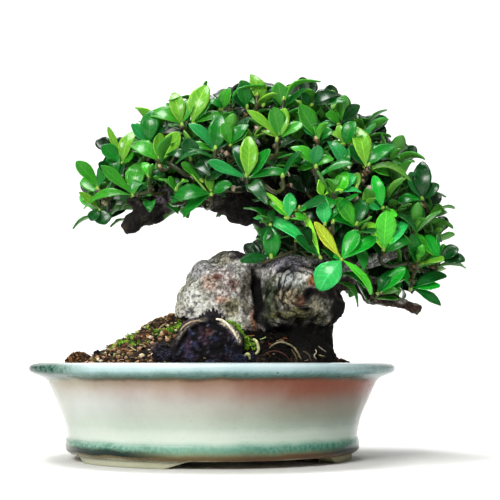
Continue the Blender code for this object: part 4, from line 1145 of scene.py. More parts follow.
def soil_body():
    """The filling of the pot with its heap."""
    profile = [(0.0, SOIL_EDGE)]
    profile += [(SOIL_RIM * i / SOIL_RINGS, SOIL_EDGE) for i in range(1, SOIL_RINGS + 1)]
    profile += [(radius - SOIL_PLAY, height) for radius, height in reversed(INSIDE[1:])]
    profile += [(INSIDE[0][0], SOIL_FLOOR), (0.0, SOIL_FLOOR)]
    bm = turned_body(profile, 180)
    paint = bm.verts.layers.float_color.new("soil_colour")
    for vert in bm.verts:
        x, y, z = vert.co
        if z > SOIL_EDGE - 1e-6 and math.hypot(x, y) < SOIL_RIM - 1e-4:
            vert.co.z = soil_top(x, y)
        cloud = ease(noise.noise(Vector((x, y, 0.1)) / 0.006), -0.2, 0.4)
        # Away from the dry, lit patch the soil is darkened to 0.35, partly damp soil and partly painted shade
        # under the trunk and crown
        light = 1.0 if dry_and_lit(x, y) else 0.35
        vert[paint] = tone(*Vector((16, 13, 11)).lerp(Vector((46, 34, 25)), cloud) * light)
    return bm


def add_clumps(bm, rng):
    """Lumps of soil, each with crumbs clinging all over it."""
    for x, y, z, radius, tall, colour in CLUMPS:
        body = clump(rng, radius, tall)
        bmesh.ops.translate(body, verts=body.verts, vec=(x, y, z))
        put(bm, body, "soil_colour", tone(*colour))
        for _ in range(int(CRUMBS_ON_CLUMP * radius * radius)):
            way = Vector((rng.gauss(0, 1), rng.gauss(0, 1), abs(rng.gauss(0, 1)))).normalized()
            body = crumb(rng, rng.uniform(0.0004, 0.0009))
            at = Vector((x, y, z)) + Vector((way.x, CLUMP_DEPTH * way.y, tall * way.z)) * radius * 1.02
            bmesh.ops.translate(body, verts=body.verts, vec=at)
            put(bm, body, "soil_colour", lit(colour, rng.choice((0.5, 0.8, 1.0, 1.4, 2.2))))


def add_crumbs(bm, rng):
    """Loose crumbs all over the soil, larger and paler where it is dry, and darker elsewhere, partly as
    painted shade.
    """
    for _ in range(CRUMBS):
        x, y = scattered(rng, 0.0012)
        dry = dry_and_lit(x, y)
        size = rng.uniform(0.0004, 0.0011) * (1.6 if rng.random() < (0.20 if dry else 0.08) else 1.0)
        body = crumb(rng, size)
        bmesh.ops.translate(body, verts=body.verts, vec=(x, y, soil_top(x, y) + 0.35 * size))
        shade = rng.choices(CRUMB_TONES, DRY_SHARES if dry else CRUMB_SHARES)[0]
        # Away from the dry patch crumbs are darkened to 0.45, partly damp and partly painted shade
        put(bm, body, "soil_colour", lit(shade, (1.0 if dry else 0.45) * rng.uniform(0.85, 1.15)))


def add_litter(bm, rng):
    """Bits of bark and leaf, most of them at the left."""
    for _ in range(LITTER):
        x, y = scattered(rng, 0.0020)
        if x > -0.016 and rng.random() < 0.75:
            continue
        body = litter_bit(rng)
        height = soil_top(x, y) + rng.uniform(0.0003, 0.0011)
        bmesh.ops.translate(body, verts=body.verts, vec=(x, y, height))
        put(bm, body, "soil_colour", tone(*[c * rng.uniform(0.8, 1.15) for c in rng.choice(LITTER_TONES)]))


def add_moss(bm, wood, rng):
    """Cushions of moss on the soil, and on the low roots at the front."""
    for x0, y0, reach, count in MOSS_BEDS:
        for _ in range(count):
            x = x0 + rng.gauss(0, 0.45) * reach
            y = y0 + rng.gauss(0, 0.45) * reach
            if math.hypot(x, y) > SOIL_RIM - 0.003:
                continue
            body = moss_tuft(rng)
            on_root = wood.ray_cast(Vector((x, y, 0.062)), Vector((0, 0, -1)))[0]
            height = max(soil_top(x, y), on_root.z if on_root and y < -0.024 else 0.0)
            bmesh.ops.translate(body, verts=body.verts, vec=(x, y, height + 0.0002))
            green = Vector((44, 84, 20)).lerp(Vector((168, 220, 70)), rng.random() ** 1.2)
            put(bm, body, "soil_colour", tone(*green))


def add_rootlets(bm):
    """Bare rootlets that come out of the soil and go back into it, thinner at both ends."""
    for points, radius, colour in ROOTLETS:
        stations = []
        for number, (px, py, depth) in enumerate(points):
            end = 0.6 if number in (0, len(points) - 1) else 1.0
            stations.append((*seen_place(px, py, depth), radius * end))
        put(bm, tube("rootlet", stations, 2, True), "soil_colour", tone(*colour))


def add_soil():
    bm = soil_body()
    rng = random.Random(SOIL_SEED)
    add_clumps(bm, rng)
    add_crumbs(bm, rng)
    add_litter(bm, rng)
    add_moss(bm, packed_wood(), rng)
    add_rootlets(bm)
    add_piece("potting_soil", bm, soil_finish(), ["soil"])


add_soil()


# Drain screens
# Two squares of black plastic mesh lie over the drain holes and keep the soil in.
# Their shape stays as the solids have it, and only their finish is added.
def mesh_plastic():
    finish, tree, shader = new_finish("black_mesh_plastic", 0.45)
    place = add_node(tree, "ShaderNodeTexCoord", {}).outputs["Object"]
    dust = spread(tree, mottle(tree, place, 800.0), 0.45, 0.7)
    tree.links.new(mixed(tree, dust, tone(16, 16, 17), tone(60, 50, 42)), shader.inputs["Base Color"])
    return finish


screen_finish = mesh_plastic()
for name in ("drain_screen_left", "drain_screen_right"):
    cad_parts[name].data.materials.clear()
    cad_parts[name].data.materials.append(screen_finish)


# Leafy sprays
# Thin twigs grow from the wood, some of them forked, and end in rosettes of glossy obovate leaves set
# crosswise. Older leaves are deep green and open wide, young ones are lime and stand up round the bud.
# The values down to the front shoots are those of the solids, so that the same sprays grow again.
SEED = 7
FIT_GAP = 0.0004
DOME_MIDDLE = Vector((0.024, 0.002, 0.092))
DOME_RADII = Vector((0.073, 0.043, 0.062))
GOLDEN_TURN = math.pi * (3 - math.sqrt(5))
BACK_STEPS = 170
BACK_SPAN = 1.25
BACK_LIMIT = -0.15
# The lower edge of the foliage, as the x where a stretch ends and its height
SKIRT = [(-0.016, 0.112), (0.020, 0.120), (0.050, 0.090), (1.000, 0.076)]
CLOSEST_SHOOTS = 0.0135
FORK_REACH = 0.0300
MOST_SPRAYS = 55
OUTWARD = 0.45
UPWARD = 0.80
OWN_WAY = 0.20
BACK = 0.014
# The pairs of leaves of a shoot from the lowest up, as opening, length and half width
LEAF_PAIRS = [
    (math.radians(60), 0.0142, 0.0035),
    (math.radians(36), 0.0152, 0.0037),
    (math.radians(12), 0.0132, 0.0032),
]
BLADE_THICK = 0.0008
BLADE_FOLD = 0.20
BLADE_ARCH = 0.30
ROW_SPREAD = 0.75
ROOT_OUT = 0.0001
PAIR_STEP = 0.0016
TURN_SPREAD = 0.30
TILT_SPREAD = 0.16
ROLL_SPREAD = 0.25
LEAF_SIZES = (0.86, 1.10)
HANG = 0.0100
ASIDE_STEP = 0.13
CLOSE_STEP = 0.05
SHORTEN_STEP = 0.03
FOOT_STEP = 0.0020
TRIES = 9
NEIGHBOURS = 0.060
TWIG_RADII = (0.0010, 0.0009, 0.0008)
FORKS = (0.5, 0.8, 0.2, 0.65, 0.95)
TWIG_NECK = 0.0042
TWIG_END = 0.0008
SHORTEST_TWIG = 0.0060
TWIG_SAG = 0.05
# The shoots that show from the front, as x and z on the plane of the pot's axis, and depth
FRONT_SHOOTS = [
    (-0.0349, 0.1128, -0.014), (-0.0495, 0.1145, -0.008), (-0.0500, 0.1070, 0.006),
    (-0.0392, 0.1262, -0.004), (-0.0233, 0.1283, -0.018), (-0.0160, 0.1140, -0.024),
    (-0.0280, 0.1200, -0.022), (-0.0133, 0.1425, -0.010), (-0.0250, 0.1400, 0.002),
    (-0.0060, 0.1510, 0.004), (-0.0095, 0.1274, -0.026), (0.0009, 0.1322, -0.030),
    (0.0069, 0.1355, -0.020), (0.0069, 0.1525, -0.008), (0.0146, 0.1201, -0.032),
    (-0.0054, 0.1200, -0.020), (-0.0010, 0.1130, -0.028), (0.0276, 0.1360, -0.030),
    (0.0190, 0.1560, -0.010), (0.0306, 0.1540, -0.012), (0.0452, 0.1365, -0.024),
    (0.0448, 0.1240, -0.034), (0.0400, 0.1480, 0.000), (0.0568, 0.1440, -0.004),
    (0.0600, 0.1330, -0.016), (0.0672, 0.1248, -0.022), (0.0770, 0.1270, 0.000),
    (0.0800, 0.1180, -0.012), (0.0749, 0.1105, -0.018), (0.0870, 0.1110, 0.004),
    (0.0521, 0.1132, -0.036), (0.0620, 0.1150, -0.030), (0.0370, 0.1060, -0.034),
    (0.0300, 0.1200, -0.034), (0.0517, 0.1000, -0.036), (0.0620, 0.0990, -0.034),
    (0.0553, 0.0850, -0.030), (0.0440, 0.0905, -0.028), (0.0734, 0.0880, -0.026),
    (0.0667, 0.1060, -0.026), (0.0350, 0.0930, -0.020), (0.0710, 0.0700, -0.012),
    (0.0860, 0.0700, -0.008), (0.0883, 0.0835, -0.016), (0.0970, 0.0830, -0.004),
    (0.0867, 0.0970, -0.010),
]
# More shoots fill the crown out, on twigs that reach into the wood
TWIG_IN_WOOD = 0.0016
FILL_STEPS = 420
FILL_SPAN = 1.45
FILL_CLOSEST = 0.0098
FILL_SHELLS = (0.97, 0.80)
MOST_FILL = 90
SPRAY_SEED = 23
# More pairs of leaves, as place up the twig, opening, length, half width and age: young ones at each tip,
# those of a whole new shoot, and those below the leaves of a shoot that the solids have
YOUNG_PAIRS = [(2, 0.28, 0.0088, 0.0020, 3), (2, 0.52, 0.0078, 0.0018, 3)]
NEW_PAIRS = [
    (0, 1.10, 0.0138, 0.0034, 0),
    (1, 0.68, 0.0148, 0.0037, 1),
    (2, 0.34, 0.0130, 0.0032, 2),
    (-2, 1.35, 0.0128, 0.0033, 0),
]
LOWER_PAIRS = [
    (-2, 1.30, 0.0136, 0.0034, 0),
    (0, 0.86, 0.0140, 0.0035, 1),
    (-4, 1.45, 0.0128, 0.0033, 0),
]
# The place between rib and rim that twigs and buds take on a blade, where the leaf's finish draws no line
PLAIN_PLACE = (0.5, 0.6, 0.0)
# Shoots that stand out in the front view: the place of each rosette, then the tip, half width in millimetres
# and tone of each leaf
MARKED_SHOOTS = [
    ((133, 194), [((88, 187), 2.6, "bright"), ((101, 163), 3.0, "bright"), ((133, 161), 4.6, "bright"),
                  ((159, 165), 3.2, "deep"), ((112, 197), 2.4, "deep"), ((152, 192), 2.0, "bright")]),
    ((158, 160), [((157, 131), 3.0, "lime"), ((179, 131), 4.6, "lime"), ((134, 136), 4.2, "bright")]),
    ((147, 142), [((149, 110), 4.4, "mid"), ((131, 121), 3.2, "teal"), ((158, 122), 2.8, "deep")]),
    ((121, 162), [((123, 132), 3.4, "lime"), ((102, 142), 4.2, "mid"), ((130, 150), 3.6, "bright"),
                  ((107, 124), 1.8, "lime")]),
    ((97, 186), [((77, 158), 3.6, "bright"), ((103, 165), 3.0, "mid")]),
    ((114, 178), [((98, 160), 3.4, "deep"), ((110, 151), 3.6, "mid"), ((121, 163), 2.6, "deep")]),
    ((99, 208), [((79, 190), 2.2, "lime"), ((89, 218), 3.0, "deep"), ((104, 222), 4.2, "deep")]),
    ((181, 123), [((158, 101), 4.6, "bright"), ((172, 90), 3.6, "lime"), ((188, 92), 3.4, "bright")]),
    ((191, 121), [((201, 82), 4.8, "lime"), ((223, 103), 3.6, "bright"), ((208, 96), 3.0, "mid")]),
    ((215, 150), [((218, 117), 4.4, "mid"), ((196, 117), 3.0, "teal"), ((183, 134), 2.6, "bright"),
                  ((226, 132), 2.6, "deep")]),
    ((230, 143), [((225, 121), 3.2, "bright"), ((242, 121), 3.2, "mid"), ((247, 129), 2.2, "bright")]),
    ((190, 159), [((190, 136), 4.2, "deep"), ((176, 146), 3.0, "deep")]),
    ((200, 178), [((182, 161), 2.6, "bright"), ((204, 154), 3.6, "deep"), ((222, 170), 2.6, "deep")]),
    ((211, 193), [((176, 187), 4.8, "mid"), ((181, 206), 3.0, "mid"), ((228, 180), 3.4, "mid")]),
    ((247, 177), [((252, 138), 4.2, "lime"), ((208, 160), 3.4, "teal"), ((284, 163), 3.0, "mid"),
                  ((238, 141), 3.4, "deep")]),
    ((247, 106), [((243, 77), 4.2, "mid"), ((234, 92), 2.8, "deep")]),
    ((262, 104), [((259, 72), 3.8, "lime"), ((252, 86), 2.6, "deep")]),
    ((283, 106), [((280, 79), 3.9, "bright"), ((270, 80), 3.0, "deep"), ((303, 82), 1.6, "mid")]),
    ((280, 137), [((276, 104), 4.2, "bright"), ((285, 106), 3.0, "lime"), ((252, 103), 2.4, "lime"),
                  ((302, 116), 3.0, "bright"), ((266, 124), 2.0, "lime")]),
    ((223, 106), [((225, 87), 3.6, "bright"), ((213, 94), 2.6, "mid")]),
    ((319, 138), [((303, 101), 4.6, "bright"), ((330, 127), 3.4, "mid"), ((304, 121), 2.2, "teal")]),
    ((312, 103), [((328, 85), 4.0, "dark"), ((345, 92), 2.6, "mid"), ((303, 89), 2.6, "deep")]),
    ((341, 122), [((361, 103), 4.4, "dark"), ((331, 109), 3.8, "bright"), ((322, 119), 2.6, "teal")]),
    ((346, 143), [((352, 121), 3.8, "mid"), ((332, 139), 2.4, "bright"), ((340, 124), 2.6, "lime")]),
    ((367, 166), [((362, 127), 4.2, "lime"), ((387, 138), 3.6, "mid"), ((353, 143), 3.8, "deep"),
                  ((391, 168), 2.8, "bright")]),
    ((316, 165), [((301, 142), 3.6, "bright"), ((317, 144), 3.2, "teal"), ((329, 153), 2.8, "bright"),
                  ((298, 154), 3.0, "mid"), ((299, 166), 2.0, "bright")]),
    ((346, 165), [((339, 143), 3.4, "teal"), ((349, 152), 1.6, "mid")]),
    ((324, 195), [((319, 180), 3.4, "lime"), ((334, 184), 1.4, "lime")]),
    ((340, 191), [((344, 175), 3.4, "bright"), ((357, 185), 1.6, "teal"), ((352, 172), 3.0, "teal")]),
    ((289, 217), [((270, 187), 1.4, "lime"), ((277, 199), 3.0, "bright"), ((291, 194), 3.0, "teal"),
                  ((304, 214), 2.6, "bright")]),
    ((297, 209), [((327, 198), 3.2, "deep"), ((306, 208), 2.0, "mid")]),
    ((320, 256), [((271, 205), 3.0, "teal"), ((298, 236), 3.4, "deep"), ((306, 211), 1.6, "lime")]),
    ((325, 225), [((325, 203), 3.4, "teal"), ((352, 189), 1.8, "mid")]),
    ((342, 259), [((315, 222), 3.2, "yellow"), ((321, 284), 6.2, "teal"), ((376, 235), 3.4, "mid"),
                  ((358, 230), 3.8, "mid"), ((378, 285), 2.4, "bright"), ((334, 254), 2.0, "mid")]),
    ((356, 227), [((341, 197), 4.0, "bright"), ((330, 208), 3.0, "mid"), ((363, 196), 3.6, "deep")]),
    ((384, 250), [((387, 211), 4.8, "bright"), ((374, 221), 3.2, "lime"), ((405, 219), 3.6, "teal"),
                  ((391, 234), 2.4, "bright")]),
    ((383, 208), [((379, 177), 3.0, "mid"), ((366, 204), 2.6, "teal"), ((397, 216), 2.4, "bright")]),
    ((378, 293), [((405, 269), 3.4, "mid"), ((385, 272), 2.6, "deep")]),
    ((411, 287), [((393, 247), 3.6, "mid"), ((443, 271), 3.4, "deep"), ((440, 284), 2.8, "mid"),
                  ((442, 303), 2.6, "deep")]),
    ((424, 199), [((424, 164), 4.4, "dark"), ((437, 183), 3.8, "dark"), ((410, 172), 3.6, "deep"),
                  ((400, 194), 2.8, "mid")]),
    ((441, 260), [((464, 256), 3.6, "dark"), ((456, 246), 4.0, "dark"), ((430, 235), 3.4, "mid"),
                  ((418, 232), 3.0, "bright")]),
    ((270, 224), [((273, 249), 4.0, "mid"), ((264, 238), 3.0, "deep")]),
    ((271, 254), [((241, 262), 3.2, "deep")]),
]
LEAF_TONES = {
    "dark": (3, 36, 12),
    "deep": (4, 64, 20),
    "mid": (12, 106, 24),
    "bright": (48, 138, 28),
    "lime": (96, 162, 40),
    "yellow": (184, 216, 52),
    "teal": (30, 126, 58),
    "shade": (2, 16, 7),
}


def skirt(x):
    """The lowest height that the foliage's edge has at this x."""
    return next(height for end, height in SKIRT if x < end)


def spread_way(step, steps, span):
    """One of many directions, spread evenly from the top down by the golden angle."""
    height = 1 - span * (step + 0.5) / steps
    ring = math.sqrt(1 - height * height)
    turn = step * GOLDEN_TURN
    return Vector((ring * math.cos(turn), ring * math.sin(turn), height))


def shoot_tips():
    """Where the leafy shoots end: those seen from the front, then the back, spread by the golden angle."""
    tips = [seen(*place) for place in FRONT_SHOOTS]
    for step in range(BACK_STEPS):
        way = spread_way(step, BACK_STEPS, BACK_SPAN)
        tip = DOME_MIDDLE + way * DOME_RADII
        if way.y > BACK_LIMIT and tip.z > skirt(tip.x):
            if min((tip - other).length for other in tips) > CLOSEST_SHOOTS:
                tips.append(tip)
    return tips


def paired(tips):
    """Neighbouring shoots two by two, as the forks of one spray."""
    left = list(tips)
    pairs = []
    while left:
        tip = left.pop(0)
        near = min(left, key=lambda other: (other - tip).length, default=None)
        if near and (near - tip).length < FORK_REACH:
            left.remove(near)
            pairs.append([tip, near])
        else:
            pairs.append([tip])
    return pairs


def shoot_axis(tip, rng):
    """The way a shoot points: out of the dome, up to the light, and a little its own way."""
    out = tip - DOME_MIDDLE
    normal = Vector(tuple(out[i] / DOME_RADII[i] ** 2 for i in range(3))).normalized()
    own = Vector([rng.uniform(-OWN_WAY, OWN_WAY) for _ in range(3)])
    return (OUTWARD * normal + Vector((0, 0, UPWARD)) + own).normalized()


def blade_outline(along):
    """Half the blade's width as a share of the widest, which comes past the middle."""
    return math.sin(math.pi * along**1.42) ** 0.80 if 0 < along < 1 else 0.0


def plain_blade(length, half_width, margin, leaf_at):
    """The three-sided blade of the solid, which keeps the finer leaves clear of each other."""
    bm = bmesh.new()
    bmesh.ops.create_uvsphere(bm, u_segments=3, v_segments=3, radius=1)
    for vert in bm.verts:
        along = max(0.0, 0.5 - 0.5 * vert.co.z) ** ROW_SPREAD
        girth = math.hypot(vert.co.x, vert.co.y)
        edge = round(vert.co.x / girth) if girth > 0.1 else 0
        across = half_width * blade_outline(along) * edge
        lift = margin + BLADE_FOLD * abs(across) if edge else -BLADE_THICK - margin
        lift *= 1 if girth > 0.1 else 0
        bend = BLADE_ARCH * along
        run = length * math.sin(bend) / BLADE_ARCH
        drop = length * (1 - math.cos(bend)) / BLADE_ARCH
        vert.co = leaf_at @ Vector((run + lift * math.sin(bend), across, lift * math.cos(bend) - drop))
    if bm.calc_volume(signed=True) < 0:
        bmesh.ops.reverse_faces(bm, faces=bm.faces)
    return bm


class Barrier:
    """A body's search tree with a ball round it, so that far bodies are passed over."""

    def __init__(self, bm):
        self.tree = BVHTree.FromBMesh(bm, epsilon=0.0)
        self.middle = sum((v.co for v in bm.verts), Vector()) / len(bm.verts)
        self.reach = max((v.co - self.middle).length for v in bm.verts)

    def meets(self, other):
        if (self.middle - other.middle).length > self.reach + other.reach:
            return False
        return bool(self.tree.overlap(other.tree))


def leaf_place(root, axis, open_angle, turn, roll):
    """Places a blade: it opens this far from the shoot's axis, at this turn round it."""
    out = Matrix.Rotation(turn, 3, axis) @ axis.orthogonal().normalized()
    way = axis * math.cos(open_angle) + out * math.sin(open_angle)
    up = axis * math.sin(open_angle) - out * math.cos(open_angle)
    up = Matrix.Rotation(roll, 3, way) @ up
    across = up.cross(way)
    turned = Matrix((way, across, up)).transposed().to_4x4()
    return Matrix.Translation(root + out * ROOT_OUT) @ turned


def twig_stations(start, tip, axis):
    """A twig that sags a little on its way and turns up to the shoot's axis."""
    neck = tip - axis * TWIG_NECK - Vector((0, 0, TWIG_SAG * (tip - start).length))
    return [(*p, r) for p, r in zip((start, neck, tip + axis * TWIG_END), TWIG_RADII)]


def clear_twig(stations, wood, others):
    """The twig's barrier, or nothing where it would cross what stands there."""
    bm = tube("twig", stations, 0, False)
    solid = Barrier(bm)
    bm.free()
    if solid.meets(wood) or any(solid.meets(other) for other in others):
        return None
    return solid


def grow_spray(tips, axes, wood, others):
    """A twig on the nearest wood to the first tip, and a side twig off it to the second."""
    for attempt in range(TRIES):
        lean = Matrix.Rotation(attempt * GOLDEN_TURN, 3, axes[0]) @ axes[0].orthogonal()
        base = wood.tree.find_nearest(tips[0] + lean.normalized() * FOOT_STEP * attempt)[0]
        way = (tips[0] - base).normalized()
        end = base + way * max((tips[0] - base).length, SHORTEST_TWIG)
        stations = twig_stations(base + way * FIT_GAP, end, axes[0])
        solid = clear_twig(stations, wood, others)
        if solid:
            break
    else:
        return None
    rooted = twig_stations(base - way * TWIG_IN_WOOD, end, axes[0])
    spray = {"twigs": [rooted], "solids": [solid], "rosettes": [(end, axes[0])], "leaves": []}
    for share in FORKS if len(tips) > 1 else ():
        start = Vector(stations[0][:3]).lerp(Vector(stations[1][:3]), share)
        side = twig_stations(start, tips[1], axes[1])
        solid = clear_twig(side, wood, others)
        if solid:
            spray["twigs"].append(side)
            spray["solids"].append(solid)
            spray["rosettes"].append((tips[1], axes[1]))
            break
    return spray


def place_leaf(spray, barriers, root, axis, draw, length, half_width, age):
    """Adds the leaf where it is clear and hangs little, bending it aside and shortening it if need be."""
    turn, tilt, size, roll = draw
    for attempt in range(TRIES):
        aside = (-1) ** attempt * ASIDE_STEP * ((attempt + 1) // 2)
        scale = size * (1 - SHORTEN_STEP * attempt)
        leaf_at = leaf_place(root, axis, tilt - CLOSE_STEP * attempt, turn + aside, roll)
        guard = plain_blade(length * scale, half_width * scale, FIT_GAP, leaf_at)
        solid = Barrier(guard)
        guard.free()
        end = leaf_at @ Vector((length * scale, 0, 0))
        if end.z < skirt(end.x) - HANG or any(solid.meets(barrier) for barrier in barriers):
            continue
        bm = plain_blade(length * scale, half_width * scale, 0, leaf_at)
        spray["leaves"].append((leaf_at, length * scale, half_width * scale, age))
        spray["solids"].append(Barrier(bm))
        bm.free()
        return


def sprays_near(sprays, tip):
    """The sprays with a rosette so near the tip that their leaves may meet."""
    return [s for s in sprays if min((t - tip).length for t, _ in s["rosettes"]) < NEIGHBOURS]


def grow_rosette(spray, sprays, wood, tip, axis, rng):
    """Pairs of leaves set crosswise, opening less and less towards the tip."""
    first_turn = rng.uniform(0, math.pi)
    near = sprays_near(sprays, tip)
    barriers = [wood] + [solid for s in near if s is not spray for solid in s["solids"]]
    for pair, (open_angle, length, half_width) in enumerate(LEAF_PAIRS):
        root = tip - axis * PAIR_STEP * (2 - pair)
        for side in range(2):
            turn = first_turn + math.pi * side + math.pi / 2 * pair
            turn += rng.uniform(-TURN_SPREAD, TURN_SPREAD)
            tilt = open_angle + rng.uniform(-TILT_SPREAD, TILT_SPREAD)
            size = rng.uniform(*LEAF_SIZES)
            roll = rng.uniform(-ROLL_SPREAD, ROLL_SPREAD)
            if pair < 2 or side == 0 and tip.y < BACK:
                place_leaf(spray, barriers, root, axis, (turn, tilt, size, roll), length, half_width, pair)
    return first_turn


def grow_sprays(wood):
    """The same sprays as the solids: twigs first, then leaves that keep clear of wood and of other sprays."""
    rng = random.Random(SEED)
    sprays = []
    waiting = paired(shoot_tips())
    while waiting and len(sprays) < MOST_SPRAYS:
        tips = sorted(waiting.pop(0), key=lambda tip: wood.tree.find_nearest(tip)[3])
        axes = [shoot_axis(tip, rng) for tip in tips]
        others = [solid for spray in sprays for solid in spray["solids"]]
        spray = grow_spray(tips, axes, wood, others)
        if spray:
            sprays.append(spray)
        if len(tips) > 1 and (not spray or len(spray["rosettes"]) < 2):
            waiting.append([tips[1]])
    for spray in sprays:
        spray["turns"] = [
            grow_rosette(spray, sprays, wood, tip, axis, rng) for tip, axis in spray["rosettes"]
        ]
    return sprays


def fill_tips(sprays):
    """Places for more shoots, in the gaps that the solids leave on the dome and just inside it."""
    taken = [tip for spray in sprays for tip, _ in spray["rosettes"]]
    found = []
    for shell in FILL_SHELLS:
        for step in range(FILL_STEPS):
            tip = DOME_MIDDLE + spread_way(step, FILL_STEPS, FILL_SPAN) * DOME_RADII * shell
            hollow = tip.y < -0.004 and (shell > 0.9 or -0.004 < tip.x < 0.050 and 0.104 < tip.z < 0.124)
            near = min((tip - other).length for other in taken + found) < FILL_CLOSEST
            if tip.z > skirt(tip.x) and not hollow and not near:
                found.append(tip)
    return found[:MOST_FILL]


def nearest_spray(sprays, point):
    """The spray with a twig nearest to the point, and the place on that twig."""
    best = None
    for spray in sprays:
        for stations in spray["twigs"]:
            ends = [Vector(s[:3]) for s in stations]
            for a, b in zip(ends, ends[1:]):
                share = min(1.0, max(0.0, (point - a).dot(b - a) / max(1e-12, (b - a).length_squared)))
                place = a.lerp(b, share)
                if best is None or (point - place).length < best[0]:
                    best = ((point - place).length, spray, place)
    return best


def fill_out(sprays, wood, rng):
    """Young leaves at each tip, old leaves below it, and more shoots between those of the solids."""
    rosettes = [(spray, tip, axis, turn) for spray in sprays
                for (tip, axis), turn in zip(spray["rosettes"], spray["turns"])]
    for tip in fill_tips(sprays):
        away, spray, place = nearest_spray(sprays, tip)
        foot, _, _, from_wood = wood.tree.find_nearest(tip)
        axis = shoot_axis(tip, rng)
        start = foot - (tip - foot).normalized() * TWIG_IN_WOOD if from_wood < away else place
        spray["twigs"].append(twig_stations(start, tip, axis))
        rosettes.append((spray, tip, axis, None))
    for spray, tip, axis, turn in rosettes:
        solids = [solid for s in sprays_near(sprays, tip) for solid in s["solids"]]
        barriers = [wood] + [solid for solid in solids if (solid.middle - tip).length < 0.028]
        pairs = YOUNG_PAIRS + (NEW_PAIRS if turn is None else LOWER_PAIRS)
        if turn is None:
            turn = rng.uniform(0, math.pi)
            spray["rosettes"].append((tip, axis))
        for pair, open_angle, length, half_width, age in pairs:
            root = tip - axis * PAIR_STEP * (2 - pair)
            for side in range(2):
                way = turn + math.pi * side + math.pi / 2 * pair + 0.78 * (age in (1, 3))
                way += rng.uniform(-TURN_SPREAD, TURN_SPREAD)
                tilt = open_angle + rng.uniform(-0.2, 0.2)
                draw = (way, tilt, rng.uniform(0.8, 1.1), rng.uniform(-0.3, 0.3))
                in_the_way = [] if age == 3 else barriers
                place_leaf(spray, in_the_way, root, axis, draw, length, half_width, age)


def out_share(point):
    """How far out a point lies in the crown's dome, as a share of the way to its face."""
    out = point - DOME_MIDDLE
    return Vector([out[i] / DOME_RADII[i] for i in range(3)]).length


def green_tone(colour):
    return tone(*[min(250.0, c) for c in colour])


def leaf_tone(age, root, rng):
    """A marked leaf's own tone, with painted light on those low at the right, or one by age: lime when young,
    deep green when old, darker at the right, and with painted shade inside the crown."""
    if age in LEAF_TONES:
        # Painted light: marked leaves low at the right are made lighter, as if they caught more light
        lightens = age not in ("shade", "yellow")
        light = 1 + 0.50 * ease(root.x, 0.020, 0.045) * (1 - ease(root.z, 0.108, 0.124)) * lightens
        return green_tone(Vector(LEAF_TONES[age]) * light * rng.uniform(0.94, 1.06))
    shares = [(12, 34, 34, 16, 4), (4, 18, 40, 32, 6), (0, 8, 24, 46, 22), (0, 0, 8, 38, 54)][age]
    name = rng.choices(list(LEAF_TONES)[:5], shares)[0]
    colour = Vector(LEAF_TONES[name]) * rng.uniform(0.92, 1.24)
    colour = colour.lerp(Vector((6, 64, 24)), 0.60 * ease(root.x, 0.050, 0.090) * ease(root.z, 0.085, 0.105))
    # Painted shade: leaves deep inside the crown are much darker
    return green_tone(colour.lerp(Vector((4, 30, 12)), 0.85 * (1 - ease(out_share(root), 0.55, 0.93))))


def fine_leaf(leaf_at, length, half_width, rng):
    """A closed thin blade with a folded midrib, a wavy margin and a narrow stalk."""
    bm = bmesh.new()
    bmesh.ops.create_uvsphere(bm, u_segments=8, v_segments=9, radius=1)
    blade = bm.verts.layers.float_vector.new("blade_place")
    phase = rng.uniform(0, 6.28)
    curl = rng.uniform(-0.25, 0.45)
    sway = rng.uniform(-0.10, 0.10)
    for vert in bm.verts:
        along = (0.5 - 0.5 * vert.co.z) ** 0.85
        girth = math.hypot(vert.co.x, vert.co.y)
        edge = vert.co.x / girth if girth > 0.05 else 0.0
        top = 1 if girth > 0.05 and vert.co.y >= -1e-4 else -1
        stalk = 0.07 * (1 - ease(along, 0.0, 0.35)) * ease(along, -0.01, 0.06)
        across = half_width * max(blade_outline(along) ** (1.08 - 0.30 * along), stalk) * edge
        thick = (0.00022 if abs(edge) < 0.9 else 0.0) if girth > 0.05 else 0.0
        thick *= 1.5 if abs(edge) < 0.1 else 1.0
        wave = 0.00028 * math.sin(9 * along + phase) * edge * abs(edge)
        lift = BLADE_FOLD * abs(across) * 1.25 + wave - (0 if top > 0 else thick * 2)
        bend = BLADE_ARCH * along + curl * along**3
        run = length * math.sin(BLADE_ARCH * along) / BLADE_ARCH
        drop = length * (1 - math.cos(bend)) / BLADE_ARCH
        vert.co = leaf_at @ Vector(
            (run + lift * math.sin(bend), across + sway * length * along**2, lift * math.cos(bend) - drop)
        )
        vert[blade] = (edge, along, 1.0 if top < 0 and abs(edge) < 0.9 else 0.0)
    if bm.calc_volume(signed=True) < 0:
        bmesh.ops.reverse_faces(bm, faces=bm.faces)
    return bm


